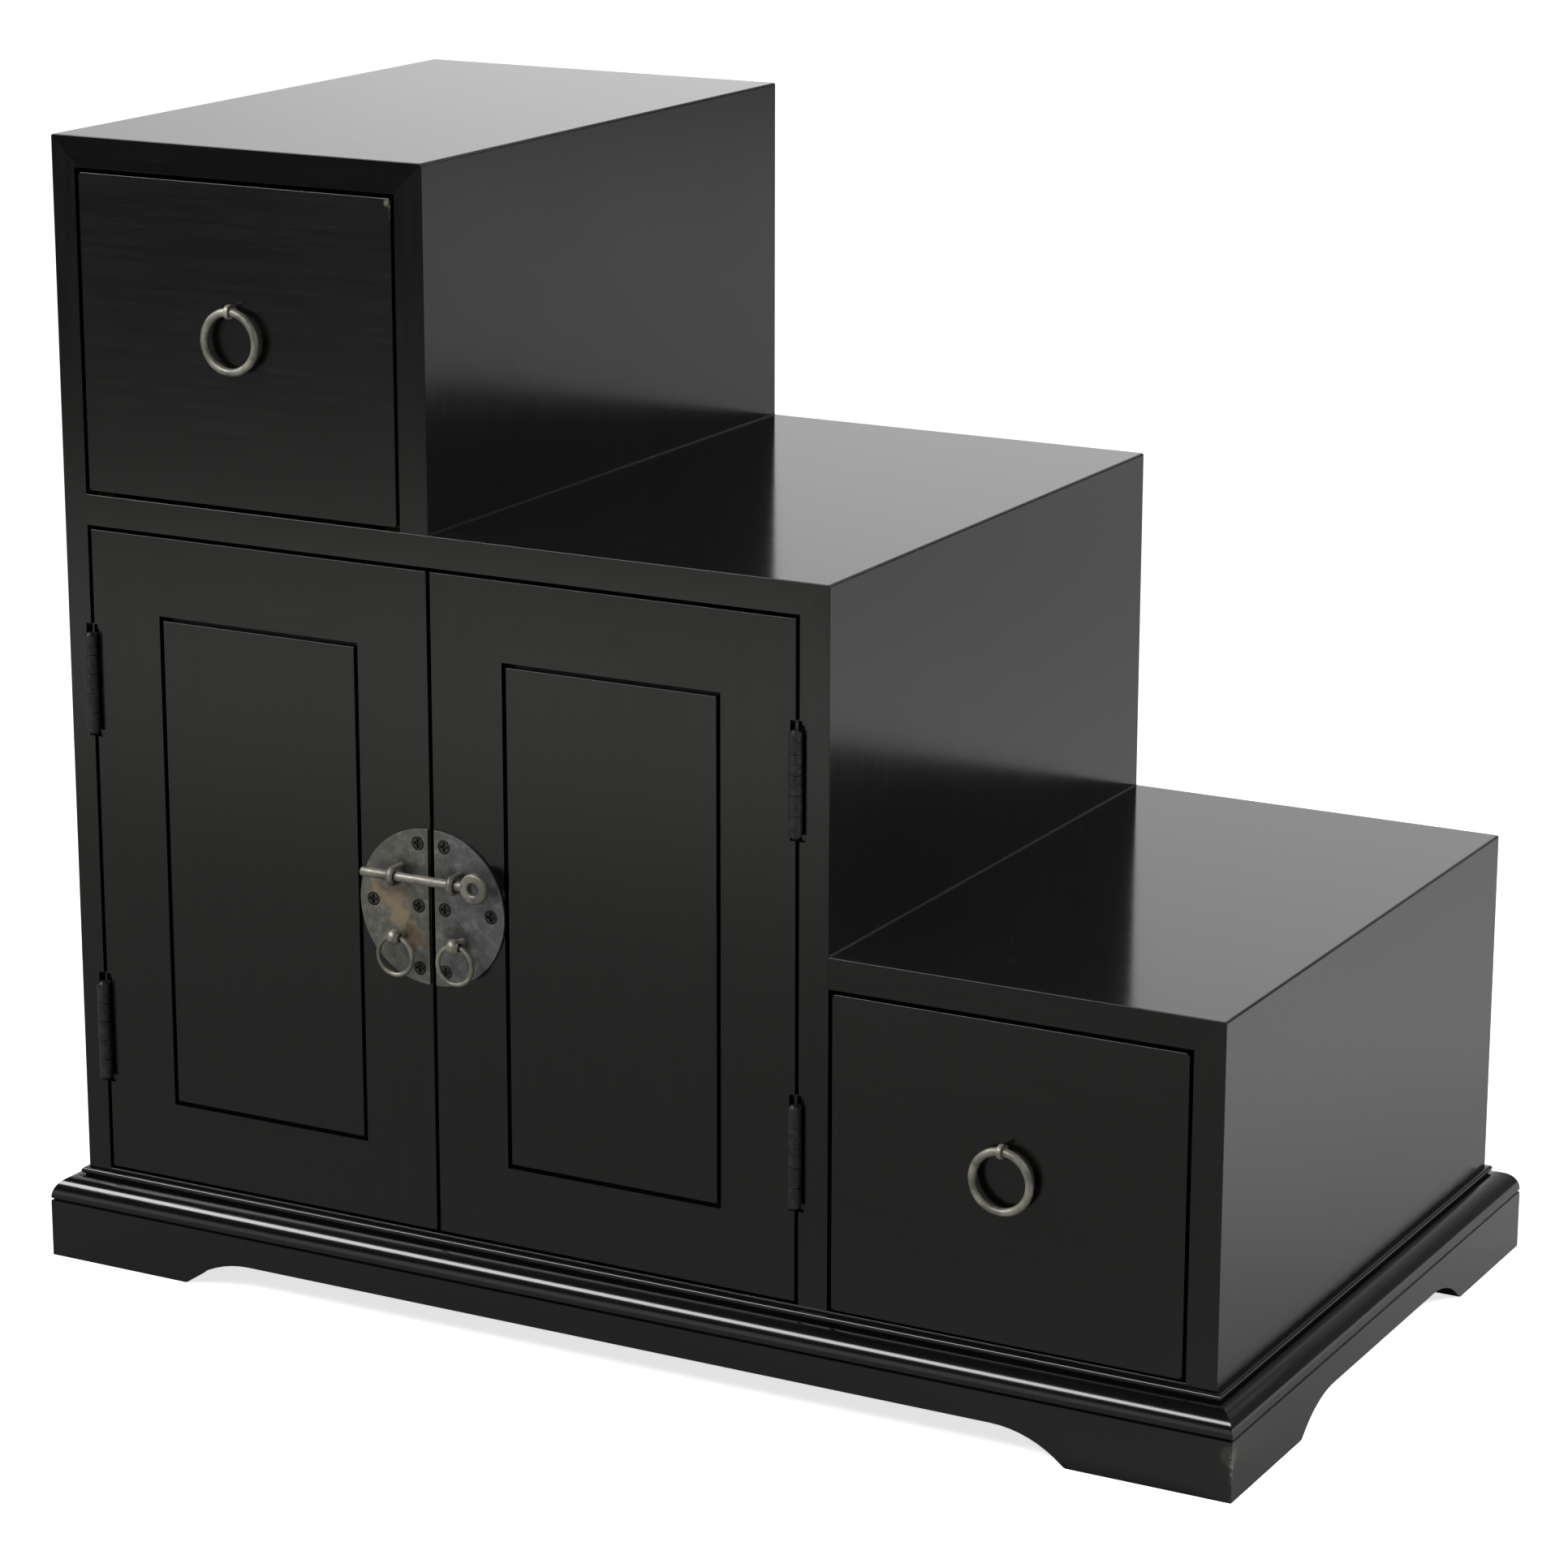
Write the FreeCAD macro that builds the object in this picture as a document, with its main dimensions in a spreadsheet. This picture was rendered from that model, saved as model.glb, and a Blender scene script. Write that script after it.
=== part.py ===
import FreeCAD, Part
import math
import os
import Sketcher

# Step chest tansu: a tall drawer box, a low double-door cupboard and a low drawer box in
# three equal steps on one moulded plinth. Chest coordinates: x from the left face, y from
# the front face to the back, z from the top of the plinth. Lengths are in millimetres.

SIZES = [
    ("case_width", 610, "case over its side boards"),
    ("case_depth", 335, "case from front to back"),
    ("step_rise", 171.6, "height of one step"),
    ("tall_width", 206, "left face to the upper riser"),
    ("middle_width", 415.5, "left face to the lower riser"),
    ("board", 15, "case board thickness"),
    ("left_board", 13, "left side board thickness"),
    ("back_board", 5, "back panel thickness"),
    ("corner_round", 1.2, "rounding of the mitred corners"),
    ("edge_round", 0.4, "rounding of the front edges"),
    ("front_gap", 2, "gap round doors and drawer fronts"),
    ("sill", 1.6, "bottom board above the plinth top"),
    ("door_gap", 1.6, "gap under the doors"),
    ("drawer_gap", 1, "gap under the lower drawer front"),
    ("plinth_overhang", 14, "plinth beyond the case on every side"),
    ("plinth_height", 44.5, "plinth top to the floor"),
    ("bead", 1.5, "radius of the bead at the top of the moulding"),
    ("moulding_drop", 3.8, "plinth top to the start of the quarter round"),
    ("ovolo", 10.6, "radius of the quarter round"),
    ("quirk_width", 1.4, "dark line under the quarter round"),
    ("quirk_depth", 1.1, "depth of that line"),
    ("foot_rise", 14.5, "floor to the underside of the apron"),
    ("foot_width", 81, "foot from the outer corner"),
    ("foot_curve", 37, "length of the curve beside a foot"),
    ("foot_round", 3, "rounding at the end of a foot"),
    ("block_side", 40, "glue block width"),
    ("block_lift", 1, "glue block above the floor"),
    ("stop_width", 10, "depth of the door stop"),
    ("stop_height", 12, "height of the stops"),
    ("stop_gap", 0.3, "stops to the closed door or drawer"),
    ("stop_inset", 30, "drawer stops in from the sides"),
    ("stop_block", 20, "drawer stop width"),
    ("split_shift", 1.25, "line between the doors, left of the middle"),
    ("door_board", 18, "door thickness"),
    ("frame_width", 38.4, "stile and rail width"),
    ("panel_gap", 2.2, "groove seen round the panel"),
    ("slot_front", 6, "door face to the panel slot"),
    ("slot_width", 6, "panel slot width"),
    ("slot_depth", 9, "panel slot depth"),
    ("tongue", 8, "panel tongue and rail tenon length"),
    ("hinge_length", 48, "barrel length"),
    ("hinge_radius", 3.25, "barrel radius"),
    ("hinge_out", 2, "hinge axis in front of the face"),
    ("hinge_rise", 47.2, "lower barrel above the door's lower edge"),
    ("hinge_drop", 51.6, "upper barrel under the door's top edge"),
    ("pin_radius", 1.5, "hinge pin radius"),
    ("pin_play", 0.15, "hinge bore round the pin"),
    ("knuckle_play", 0.3, "gap between knuckles"),
    ("cap_height", 1.2, "pin cap height"),
    ("cap_radius", 2.7, "pin cap radius"),
    ("leaf", 0.9, "leaf thickness"),
    ("leaf_depth", 14, "leaf behind the barrel"),
    ("leaf_play", 0.3, "leaf to the other knuckles"),
    ("leaf_screw_radius", 1.3, "hinge screw shank radius"),
    ("leaf_screw_length", 10, "hinge screw in the wood"),
    ("leaf_screw_end", 8, "outer hinge screws from the leaf's ends"),
    ("leaf_screw_back", 9, "hinge screws behind the face"),
    ("leaf_slot_width", 0.5, "hinge screw slot width"),
    ("leaf_slot_depth", 0.4, "hinge screw slot depth"),
    ("notch_side", 2.8, "notch from the gap into the wood"),
    ("notch_deep", 2.6, "notch behind the face"),
    ("notch_above", 5, "notch over the barrel"),
    ("notch_below", 3, "notch under the barrel"),
    ("drawer_front", 15, "drawer front thickness"),
    ("drawer_corner", 1.8, "rounded corners of a drawer front"),
    ("drawer_end_gap", 30, "drawer's end to the back panel"),
    ("drawer_side", 10, "drawer side thickness"),
    ("drawer_lap", 8, "lap of the sides into the front"),
    ("drawer_drop", 12, "sides lower than the front"),
    ("drawer_bottom", 4, "drawer bottom thickness"),
    ("bottom_lift", 7, "drawer bottom above the side edge"),
    ("bottom_slot", 5, "depth of the slot for the bottom"),
    ("run_gap", 0.3, "drawer sides above the board"),
    ("eye_radius", 3.3, "pull eye, to the wire centre"),
    ("eye_wire", 1, "pull eye wire radius"),
    ("eye_out", 4.7, "pull eye centre before the face"),
    ("eye_drop", 60.6, "pull eye under the top of its opening"),
    ("eye_stem", 1.5, "pull eye stem radius"),
    ("clench_reach", 9, "clenched legs each way"),
    ("pull_radius", 14.2, "pull ring, to the wire centre"),
    ("pull_wire", 1.95, "pull ring wire radius"),
    ("plate_radius", 38, "lock plate radius"),
    ("plate_thickness", 1.2, "lock plate thickness"),
    ("plate_edge", 1.75, "lock plate halves from the door split"),
    ("screw_inner", 7.2, "inner plate screws from the split"),
    ("screw_edge", 6.9, "outer plate screw from the stile's inner edge"),
    ("screw_rise", 30.6, "plate screws above and below the middle"),
    ("screw_head", 3.4, "plate screw head radius"),
    ("screw_shank", 1.5, "plate screw shank radius"),
    ("screw_length", 5.5, "plate screw in the wood"),
    ("cross_width", 0.9, "cross recess width"),
    ("cross_reach", 2.1, "cross recess from the middle"),
    ("cross_depth", 0.8, "cross recess depth"),
    ("fitting_offset", 16.5, "staples and posts from the split"),
    ("staple_lift", 15.3, "staple above the plate middle"),
    ("staple_radius", 3.7, "staple bend, to the wire centre"),
    ("staple_wire", 1.2, "staple wire radius"),
    ("staple_out", 8.7, "staple bend centre before the face"),
    ("staple_bite", 12, "staple legs in the wood"),
    ("post_drop", 14.7, "ring hole under the plate middle"),
    ("post_out", 8, "post head centre before the face"),
    ("post_head", 4.5, "post head radius"),
    ("post_neck", 2.4, "post neck radius"),
    ("post_shank", 1.8, "post shank radius in the wood"),
    ("post_bite", 12, "post shank in the wood"),
    ("ring_radius", 9.35, "drop ring, to the wire centre"),
    ("ring_wire", 1.15, "drop ring wire radius"),
    ("ring_hole", 1.6, "post hole radius at its middle"),
    ("ring_mouth", 2.7, "post hole radius at its mouth"),
    ("bolt_radius", 2.1, "sliding pin radius"),
    ("bolt_tip", 34.2, "pin tip left of the split"),
    ("bolt_head_at", 28.9, "pin head middle right of the split"),
    ("bolt_head", 7.75, "pin head radius"),
    ("bolt_head_flat", 5, "pin head thickness"),
    ("bolt_head_round", 1.6, "rounding of the pin head's edges"),
    ("bolt_eye", 2.9, "radius of the hole in the pin head"),
]

# The hinge knuckles from the lowest up, by what each is fixed to.
KNUCKLES = ("case", "door", "case", "door", "case")
COUNTERSINK_DEGREES = 45
NEAR = 1e-4

doc = FreeCAD.newDocument("step_chest_tansu")
sheet = doc.addObject("Spreadsheet::Sheet", "Sizes")
ATOMS = {}
for row, (alias, value, note) in enumerate(SIZES, start=1):
    sheet.set("A%d" % row, alias)
    sheet.set("B%d" % row, str(value))
    sheet.set("C%d" % row, note)
    sheet.setAlias("B%d" % row, alias)
    ATOMS["Sizes." + alias] = float(value)
doc.recompute()


class Size:
    """A sum of table values, kept both as a number and as the formula that gives it."""

    def __init__(self, terms):
        self.terms = {k: v for k, v in terms.items() if abs(v) > NEAR}

    @property
    def value(self):
        return sum(v * ATOMS[k] for k, v in self.terms.items())

    @property
    def formula(self):
        if not self.terms:
            return "0"
        parts = []
        for atom, share in self.terms.items():
            sign = "-" if share < 0 else "+"
            times = "" if abs(abs(share) - 1) < NEAR else "%.10g * " % abs(share)
            parts.append("%s %s%s" % (sign, times, atom))
        text = " ".join(parts)
        return text[2:] if text.startswith("+") else text

    def __add__(self, other):
        terms = dict(self.terms)
        for k, v in as_size(other).terms.items():
            terms[k] = terms.get(k, 0) + v
        return Size(terms)

    def __neg__(self):
        return self * -1

    def __sub__(self, other):
        return self + (-as_size(other))

    def __mul__(self, share):
        return Size({k: v * share for k, v in self.terms.items()})

    def __truediv__(self, share):
        return self * (1 / share)

    __radd__ = __add__
    __rmul__ = __mul__

    def __rsub__(self, other):
        return as_size(other) - self


def as_size(thing):
    return thing if isinstance(thing, Size) else Size({})


def across(radius, offset):
    """How far a circle's edge is from its middle, at an offset to one side."""
    atom = "sqrt((%s)^2 - (%s)^2)" % (radius.formula, offset.formula)
    ATOMS[atom] = math.sqrt(radius.value**2 - offset.value**2)
    return Size({atom: 1})


def curve_radius(length, rise):
    """Radius of an arc that starts level and gains a rise over a length."""
    top = "((%s)^2 + (%s)^2)" % (length.formula, rise.formula)
    atom = "(%s / (2 * (%s)))" % (top, rise.formula)
    ATOMS[atom] = (length.value**2 + rise.value**2) / (2 * rise.value)
    return Size({atom: 1})


class Table:
    pass


s = Table()
for alias, value, note in SIZES:
    setattr(s, alias, Size({"Sizes." + alias: 1}))
ZERO = Size({})
X, Y, Z = FreeCAD.Vector(1, 0, 0), FreeCAD.Vector(0, 1, 0), FreeCAD.Vector(0, 0, 1)
FLAT = {"XY": "xyz", "XZ": "xzy", "YZ": "yzx"}


def facing(plane):
    """Whether a drawing plane's own normal points along its axis or against it."""
    return -1 if plane == "XZ" else 1


def arc(x, y, radius, way, large=False):
    """A corner from which an arc leads to the next corner; way is 1 for anticlockwise."""
    return (x, y, radius, way, large)


def box(x0, y0, x1, y1):
    return [(x0, y0), (x1, y0), (x1, y1), (x0, y1)]


def rounded_box(x0, y0, x1, y1, corner):
    return [
        arc(x0, y0 + corner, corner, 1), (x0 + corner, y0),
        arc(x1 - corner, y0, corner, 1), (x1, y0 + corner),
        arc(x1, y1 - corner, corner, 1), (x1 - corner, y1),
        arc(x0 + corner, y1, corner, 1), (x0, y1 - corner),
    ]


class Piece:
    """One body of the chest; its lengths are given in chest coordinates."""

    def __init__(self, name, x=ZERO, y=ZERO, z=ZERO):
        self.name = name
        self.corner = {"x": as_size(x), "y": as_size(y), "z": as_size(z)}
        self.body = doc.addObject("PartDesign::Body", name)
        self.body.Label = name
        self.body.AllowCompound = True
        shift = {"x": -s.case_width / 2, "y": -s.case_depth / 2, "z": s.plinth_height}
        for axis, size in self.corner.items():
            self.body.setExpression("Placement.Base." + axis, (size + shift[axis]).formula)

    def turn(self, degrees):
        """Turns the piece on its own corner and draws it from there on as if at the origin."""
        self.body.Placement.Rotation = FreeCAD.Rotation(Z, degrees)
        self.corner = dict.fromkeys("xyz", ZERO)

    def sketch(self, name, plane, lift, loops, circles):
        first, second, normal = FLAT[plane]
        sketch = self.body.newObject("Sketcher::SketchObject", "%s_%s_outline" % (self.name, name))
        for part in self.body.Origin.OriginFeatures:
            if part.Role == plane + "_Plane":
                sketch.AttachmentSupport = (part, [""])
        sketch.MapMode = "FlatFace"
        height = (as_size(lift) - self.corner[normal]) * facing(plane)
        sketch.setExpression("AttachmentOffset.Base.z", height.formula)
        low = (self.corner[first], self.corner[second])
        for loop in loops:
            self.draw_loop(sketch, [self.local(low, corner) for corner in loop])
        for x, y, radius in circles:
            self.draw_circle(sketch, x - low[0], y - low[1], radius)
        return sketch

    @staticmethod
    def local(low, corner):
        x, y, *bend = corner
        return (as_size(x) - low[0], as_size(y) - low[1], *bend)

    @staticmethod
    def fix(sketch, geometry, position, x, y):
        for kind, size, axis in (("DistanceX", x, -2), ("DistanceY", y, -1)):
            if abs(size.value) < NEAR:
                sketch.addConstraint(Sketcher.Constraint("PointOnObject", geometry, position, axis))
            else:
                number = sketch.addConstraint(
                    Sketcher.Constraint(kind, -1, 1, geometry, position, size.value)
                )
                sketch.setExpression("Constraints[%d]" % number, size.formula)

    def draw_circle(self, sketch, x, y, radius):
        centre = FreeCAD.Vector(x.value, y.value, 0)
        geometry = sketch.addGeometry(Part.Circle(centre, Z, radius.value))
        self.fix(sketch, geometry, 3, x, y)
        number = sketch.addConstraint(Sketcher.Constraint("Radius", geometry, radius.value))
        sketch.setExpression("Constraints[%d]" % number, radius.formula)

    def draw_loop(self, sketch, loop):
        drawn = []
        for corner, after in zip(loop, loop[1:] + loop[:1]):
            x, y, *bend = corner
            start = FreeCAD.Vector(x.value, y.value, 0)
            end = FreeCAD.Vector(after[0].value, after[1].value, 0)
            if not bend:
                drawn.append((sketch.addGeometry(Part.LineSegment(start, end)), 1, 2))
                continue
            radius, way, large = bend
            chord = end - start
            half = chord.Length / 2
            reach = math.sqrt(max(radius.value**2 - half**2, 0))
            side = FreeCAD.Vector(-chord.y, chord.x, 0).normalize()
            centre = (start + end) / 2 + side * reach * way * (-1 if large else 1)
            ends = [math.atan2(p.y - centre.y, p.x - centre.x) for p in (start, end)]
            if way < 0:
                ends.reverse()
            circle = Part.Circle(centre, Z, radius.value)
            number = sketch.addGeometry(Part.ArcOfCircle(circle, ends[0], ends[1]))
            drawn.append((number, 1, 2) if way > 0 else (number, 2, 1))
        for here, after in zip(drawn, drawn[1:] + drawn[:1]):
            joint = Sketcher.Constraint("Coincident", here[0], here[2], after[0], after[1])
            sketch.addConstraint(joint)
        for (x, y, *bend), (number, start, end) in zip(loop, drawn):
            self.fix(sketch, number, start, x, y)
            for radius in bend[:1]:
                index = sketch.addConstraint(Sketcher.Constraint("Radius", number, radius.value))
                sketch.setExpression("Constraints[%d]" % index, radius.formula)

    def grow(self, kind, name, plane, lift, length, toward, loops, circles, taper):
        sketch = self.sketch(name, plane, lift, loops, circles)
        feature = self.body.newObject(kind, "%s_%s" % (self.name, name))
        feature.Profile = sketch
        feature.setExpression("Length", length.formula)
        ahead = facing(plane) if kind.endswith("Pad") else -facing(plane)
        feature.Reversed = toward != ahead
        if taper:
            feature.TaperAngle = taper
        sketch.Visibility = False
        self.last = feature
        return feature

    def pad(self, name, plane, lift, length, toward, loops=(), circles=(), taper=0):
        kind = "PartDesign::Pad"
        return self.grow(kind, name, plane, lift, length, toward, loops, circles, taper)

    def pocket(self, name, plane, lift, length, toward, loops=(), circles=(), taper=0):
        kind = "PartDesign::Pocket"
        return self.grow(kind, name, plane, lift, length, toward, loops, circles, taper)

    def spin(self, name, plane, lift, axis, loops=(), circles=(), sweep=360, cut=False):
        sketch = self.sketch(name, plane, lift, loops, circles)
        kind = "PartDesign::Groove" if cut else "PartDesign::Revolution"
        feature = self.body.newObject(kind, "%s_%s" % (self.name, name))
        feature.Profile = sketch
        feature.ReferenceAxis = (sketch, [axis])
        feature.Angle = sweep
        sketch.Visibility = False
        self.last = feature
        return feature

    def round(self, name, radius, pick):
        doc.recompute()
        edges = self.last.Shape.Edges
        names = ["Edge%d" % (n + 1) for n, edge in enumerate(edges) if pick(edge)]
        if not names:
            raise ValueError("no edge to round on " + self.name)
        feature = self.body.newObject("PartDesign::Fillet", "%s_%s" % (self.name, name))
        feature.Base = (self.last, names)
        feature.setExpression("Radius", radius.formula)
        self.last = feature


def front_edges(longer, sharp=()):
    """Picks a board's long front edges; sharp gives the places of those that stay sharp."""

    def pick(edge):
        if any(abs(v.Y) > NEAR for v in edge.Vertexes):
            return False
        for axis, place in sharp:
            if all(abs(getattr(v, axis) - place.value) < NEAR for v in edge.Vertexes):
                return False
        if edge.Curve.TypeId != "Part::GeomLine":
            return True
        run = edge.Vertexes[1].Point - edge.Vertexes[0].Point
        straight = min(abs(run.x), abs(run.z)) < NEAR
        return straight and run.Length > longer.value

    return pick


PIECES = []


def piece(name, x=ZERO, y=ZERO, z=ZERO):
    made = Piece(name, x, y, z)
    PIECES.append(made)
    return made


# Heights of the three treads, and the corner where two mitred boards meet.
low_top = s.step_rise
mid_top = s.step_rise * 2
high_top = s.step_rise * 3
turn_in = s.corner_round * (1 - math.sqrt(0.5))


def case_board(name, x, z, inner, loop):
    """inner is the place of the front edge that faces the opening, which stays sharp."""
    made = piece(name, x, ZERO, z)
    made.pad("board", "XZ", ZERO, s.case_depth, 1, [loop])
    made.round("edges", s.edge_round, front_edges(s.board * 2, [inner]))
    return made


def tread_end(x, top):
    """The mitred, rounded end of a tread at its right."""
    return [
        (x - s.board, top - s.board),
        arc(x - turn_in, top - turn_in, s.corner_round, 1),
        (x - s.corner_round, top),
    ]


def riser_end(x, top):
    """The mitred, rounded top of the riser that meets that tread."""
    return [
        arc(x, top - s.corner_round, s.corner_round, 1),
        (x - turn_in, top - turn_in),
        (x - s.board, top - s.board),
    ]


left_side = case_board("left_side", ZERO, -s.board, ("X", s.left_board), [
    (ZERO, -s.board),
    (s.left_board, -s.board),
    (s.left_board, high_top - s.left_board),
    arc(turn_in, high_top - turn_in, s.corner_round, 1),
    (ZERO, high_top - s.corner_round),
])
case_board("top_board", ZERO, high_top - s.board, ("Z", ZERO), [
    (s.left_board, high_top - s.board),
    *tread_end(s.tall_width, high_top),
    arc(s.corner_round, high_top, s.corner_round, 1),
    (turn_in, high_top - turn_in),
    (s.left_board, high_top - s.left_board),
])
case_board("upper_side", s.tall_width - s.board, mid_top, ("X", ZERO), [
    (s.tall_width - s.board, mid_top),
    (s.tall_width, mid_top),
    *riser_end(s.tall_width, high_top),
])
case_board("middle_tread", s.left_board, mid_top - s.board, ("Z", ZERO), [
    (s.left_board, mid_top - s.board),
    *tread_end(s.middle_width, mid_top),
    (s.left_board, mid_top),
])
middle_side = case_board("middle_side", s.middle_width - s.board, s.sill, ("X", ZERO), [
    (s.middle_width - s.board, s.sill),
    (s.middle_width, s.sill),
    *riser_end(s.middle_width, mid_top),
])
case_board("lower_tread", s.middle_width, low_top - s.board, ("Z", ZERO), [
    (s.middle_width, low_top - s.board),
    *tread_end(s.case_width, low_top),
    (s.middle_width, low_top),
])
case_board("lower_side", s.case_width - s.board, -s.board, ("X", ZERO), [
    (s.case_width - s.board, -s.board),
    (s.case_width, -s.board),
    *riser_end(s.case_width, low_top),
])
case_board("bottom_board", s.left_board, -s.board, ("X", ZERO),
           box(s.left_board, -s.board, s.case_width - s.board, s.sill))

# Back panels, set in flush between the boards.
inner_right = s.middle_width - s.board
for name, x0, x1, z0, z1 in (
    ("upper_back", s.left_board, s.tall_width - s.board, mid_top, high_top - s.board),
    ("middle_back", s.left_board, inner_right, s.sill, mid_top - s.board),
    ("lower_back", s.middle_width, s.case_width - s.board, s.sill, low_top - s.board),
):
    panel = piece(name, x0, s.case_depth - s.back_board, z0)
    start = s.case_depth - s.back_board
    panel.pad("sheet", "XZ", start, s.back_board, 1, [box(x0, z0, x1, z1)])


# Plinth rails: moulded, mitred at the corners and cut away between the feet. Each is drawn
# as the front rail and then turned to its own side.
def plinth_rail(name, run, x, y, degrees):
    rail = piece(name, x, y)
    rail.turn(degrees)
    half = run / 2
    out = s.plinth_overhang
    spring = s.moulding_drop + s.ovolo
    arch = half + out - s.foot_width
    curve = curve_radius(s.foot_curve, s.foot_rise)
    under = s.foot_rise - s.plinth_height
    rail.pad("moulding", "YZ", -half - out, (half + out) * 2, 1, [[
        (ZERO, ZERO),
        (ZERO, -s.plinth_height),
        (-out, -s.plinth_height),
        (-out, -spring - s.quirk_width),
        (s.quirk_depth - out, -spring - s.quirk_width / 2),
        arc(-out, -spring, s.ovolo, -1),
        (s.ovolo - out, -s.moulding_drop),
        (-s.bead, -s.moulding_drop),
        arc(-s.bead, -s.bead * 2, s.bead, -1),
        arc(-s.bead * 2, -s.bead, s.bead, -1),
        (-s.bead, ZERO),
    ]])
    far = out * 2
    rail.pocket("mitres", "XY", ZERO, s.plinth_height, -1, [
        [(half, ZERO), (half + far, -far), (half + far, ZERO)],
        [(-half, ZERO), (-half - far, ZERO), (-half - far, -far)],
    ])
    rail.pocket("arch", "XZ", ZERO, out, -1, [[
        arc(arch, -s.plinth_height, curve, 1),
        (arch - s.foot_curve, under),
        arc(s.foot_curve - arch, under, curve, 1),
        (-arch, -s.plinth_height),
    ]])

    def foot_corner(edge):
        ends = [v.Point for v in edge.Vertexes]
        if len(ends) != 2 or abs(ends[0].x - ends[1].x) > NEAR:
            return False
        low = all(abs(p.z + s.plinth_height.value) < NEAR for p in ends)
        return low and abs(abs(ends[0].x) - arch.value) < NEAR

    rail.round("feet", s.foot_round, foot_corner)


plinth_rail("plinth_front", s.case_width, s.case_width / 2, ZERO, 0)
plinth_rail("plinth_right", s.case_depth, s.case_width, s.case_depth / 2, 90)
plinth_rail("plinth_back", s.case_width, s.case_width / 2, s.case_depth, 180)
plinth_rail("plinth_left", s.case_depth, ZERO, s.case_depth / 2, 270)

blocks = piece("plinth_blocks", ZERO, ZERO, -s.plinth_height)
corners = [
    box(x, y, x + s.block_side, y + s.block_side)
    for x in (ZERO, s.case_width - s.block_side)
    for y in (ZERO, s.case_depth - s.block_side)
]
blocks.pad("blocks", "XY", s.block_lift - s.plinth_height,
           s.plinth_height - s.block_lift - s.board, 1, corners)

# Door stop under the middle tread, and two blocks behind each drawer.
stops = piece("stops", s.left_board, s.door_board, ZERO)
stop_front = s.door_board + s.stop_gap
stops.pad("door_stop", "XY", mid_top - s.board - s.stop_height, s.stop_height, 1, [
    box(s.left_board, stop_front, inner_right, stop_front + s.stop_width)
])
stop_back = s.case_depth - s.back_board
drawer_end = stop_back - s.drawer_end_gap
for name, x0, x1, z in (
    ("upper_stops", s.left_board, s.tall_width - s.board, mid_top),
    ("lower_stops", s.middle_width, s.case_width - s.board, s.sill),
):
    blocks_at = (x0 + s.stop_inset, x1 - s.stop_inset - s.stop_block)
    stops.pad(name, "XY", z, s.stop_height, 1, [
        box(x, drawer_end + s.stop_gap, x + s.stop_block, stop_back) for x in blocks_at
    ])

# Doors from their lower to their top edge, and the line between them.
door_low = s.sill + s.door_gap
door_high = mid_top - s.board - s.front_gap
split = (s.left_board + inner_right) / 2 - s.split_shift

# Hinges: two to a door, their axes on the outer gaps in front of the face.
axis_left = s.left_board + s.front_gap / 2
axis_right = inner_right - s.front_gap / 2
axis_y = -s.hinge_out
knuckle = s.hinge_length / len(KNUCKLES)
slit = s.front_gap / 2 - s.leaf
leaf_start = s.hinge_radius + s.leaf_play
hinge_low = door_low + s.hinge_rise
levels = (("low", hinge_low), ("high", door_high - s.hinge_drop - s.hinge_length))
leaf_y = (axis_y + leaf_start, axis_y + leaf_start + s.leaf_depth)


def screw_spots(bottom):
    middle = bottom + s.hinge_length / 2
    reach = s.hinge_length / 2 - s.leaf_screw_end
    return [(s.leaf_screw_back, middle + reach * n) for n in (-1, 0, 1)]


def knuckle_loop(axis, side):
    """A barrel section and the neck that joins it to a leaf lying on the given side."""
    near, far = slit * side, s.front_gap * 0.5 * side
    rise = across(s.hinge_radius, slit)
    fall = across(s.hinge_radius, s.front_gap / 2)
    return [
        (axis + near, axis_y + leaf_start),
        arc(axis + near, axis_y + rise, s.hinge_radius, side, True),
        (axis + far, axis_y + fall),
        (axis + far, axis_y + leaf_start),
    ]


def hinge_leaves(name, sides, fixed_to):
    made = piece(name, sides[0][0], axis_y, hinge_low)
    bore = s.pin_radius + s.pin_play
    for level, bottom in levels:
        made.pad(level + "_leaves", "XY", bottom, s.hinge_length, 1, [
            [(axis + slit * side, leaf_y[0]), (axis + s.front_gap * 0.5 * side, leaf_y[0]),
             (axis + s.front_gap * 0.5 * side, leaf_y[1]), (axis + slit * side, leaf_y[1])]
            for axis, side in sides
        ])
        for number, holder in enumerate(KNUCKLES):
            if holder != fixed_to:
                continue
            under = bottom + knuckle * number + (s.knuckle_play / 2 if number else ZERO)
            over = bottom + knuckle * (number + 1)
            if number < len(KNUCKLES) - 1:
                over = over - s.knuckle_play / 2
            made.pad("%s_knuckle_%d" % (level, number), "XY", under, over - under, 1,
                     [knuckle_loop(axis, side) for axis, side in sides],
                     [(axis, axis_y, bore) for axis, side in sides])
        for axis, side in sides:
            made.pocket("%s_sinks_%s" % (level, "right" if side > 0 else "left"), "YZ",
                        axis + s.front_gap * 0.5 * side, s.leaf, -side, (),
                        [(y, z, s.leaf_screw_radius) for y, z in screw_spots(bottom)],
                        COUNTERSINK_DEGREES)


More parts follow.
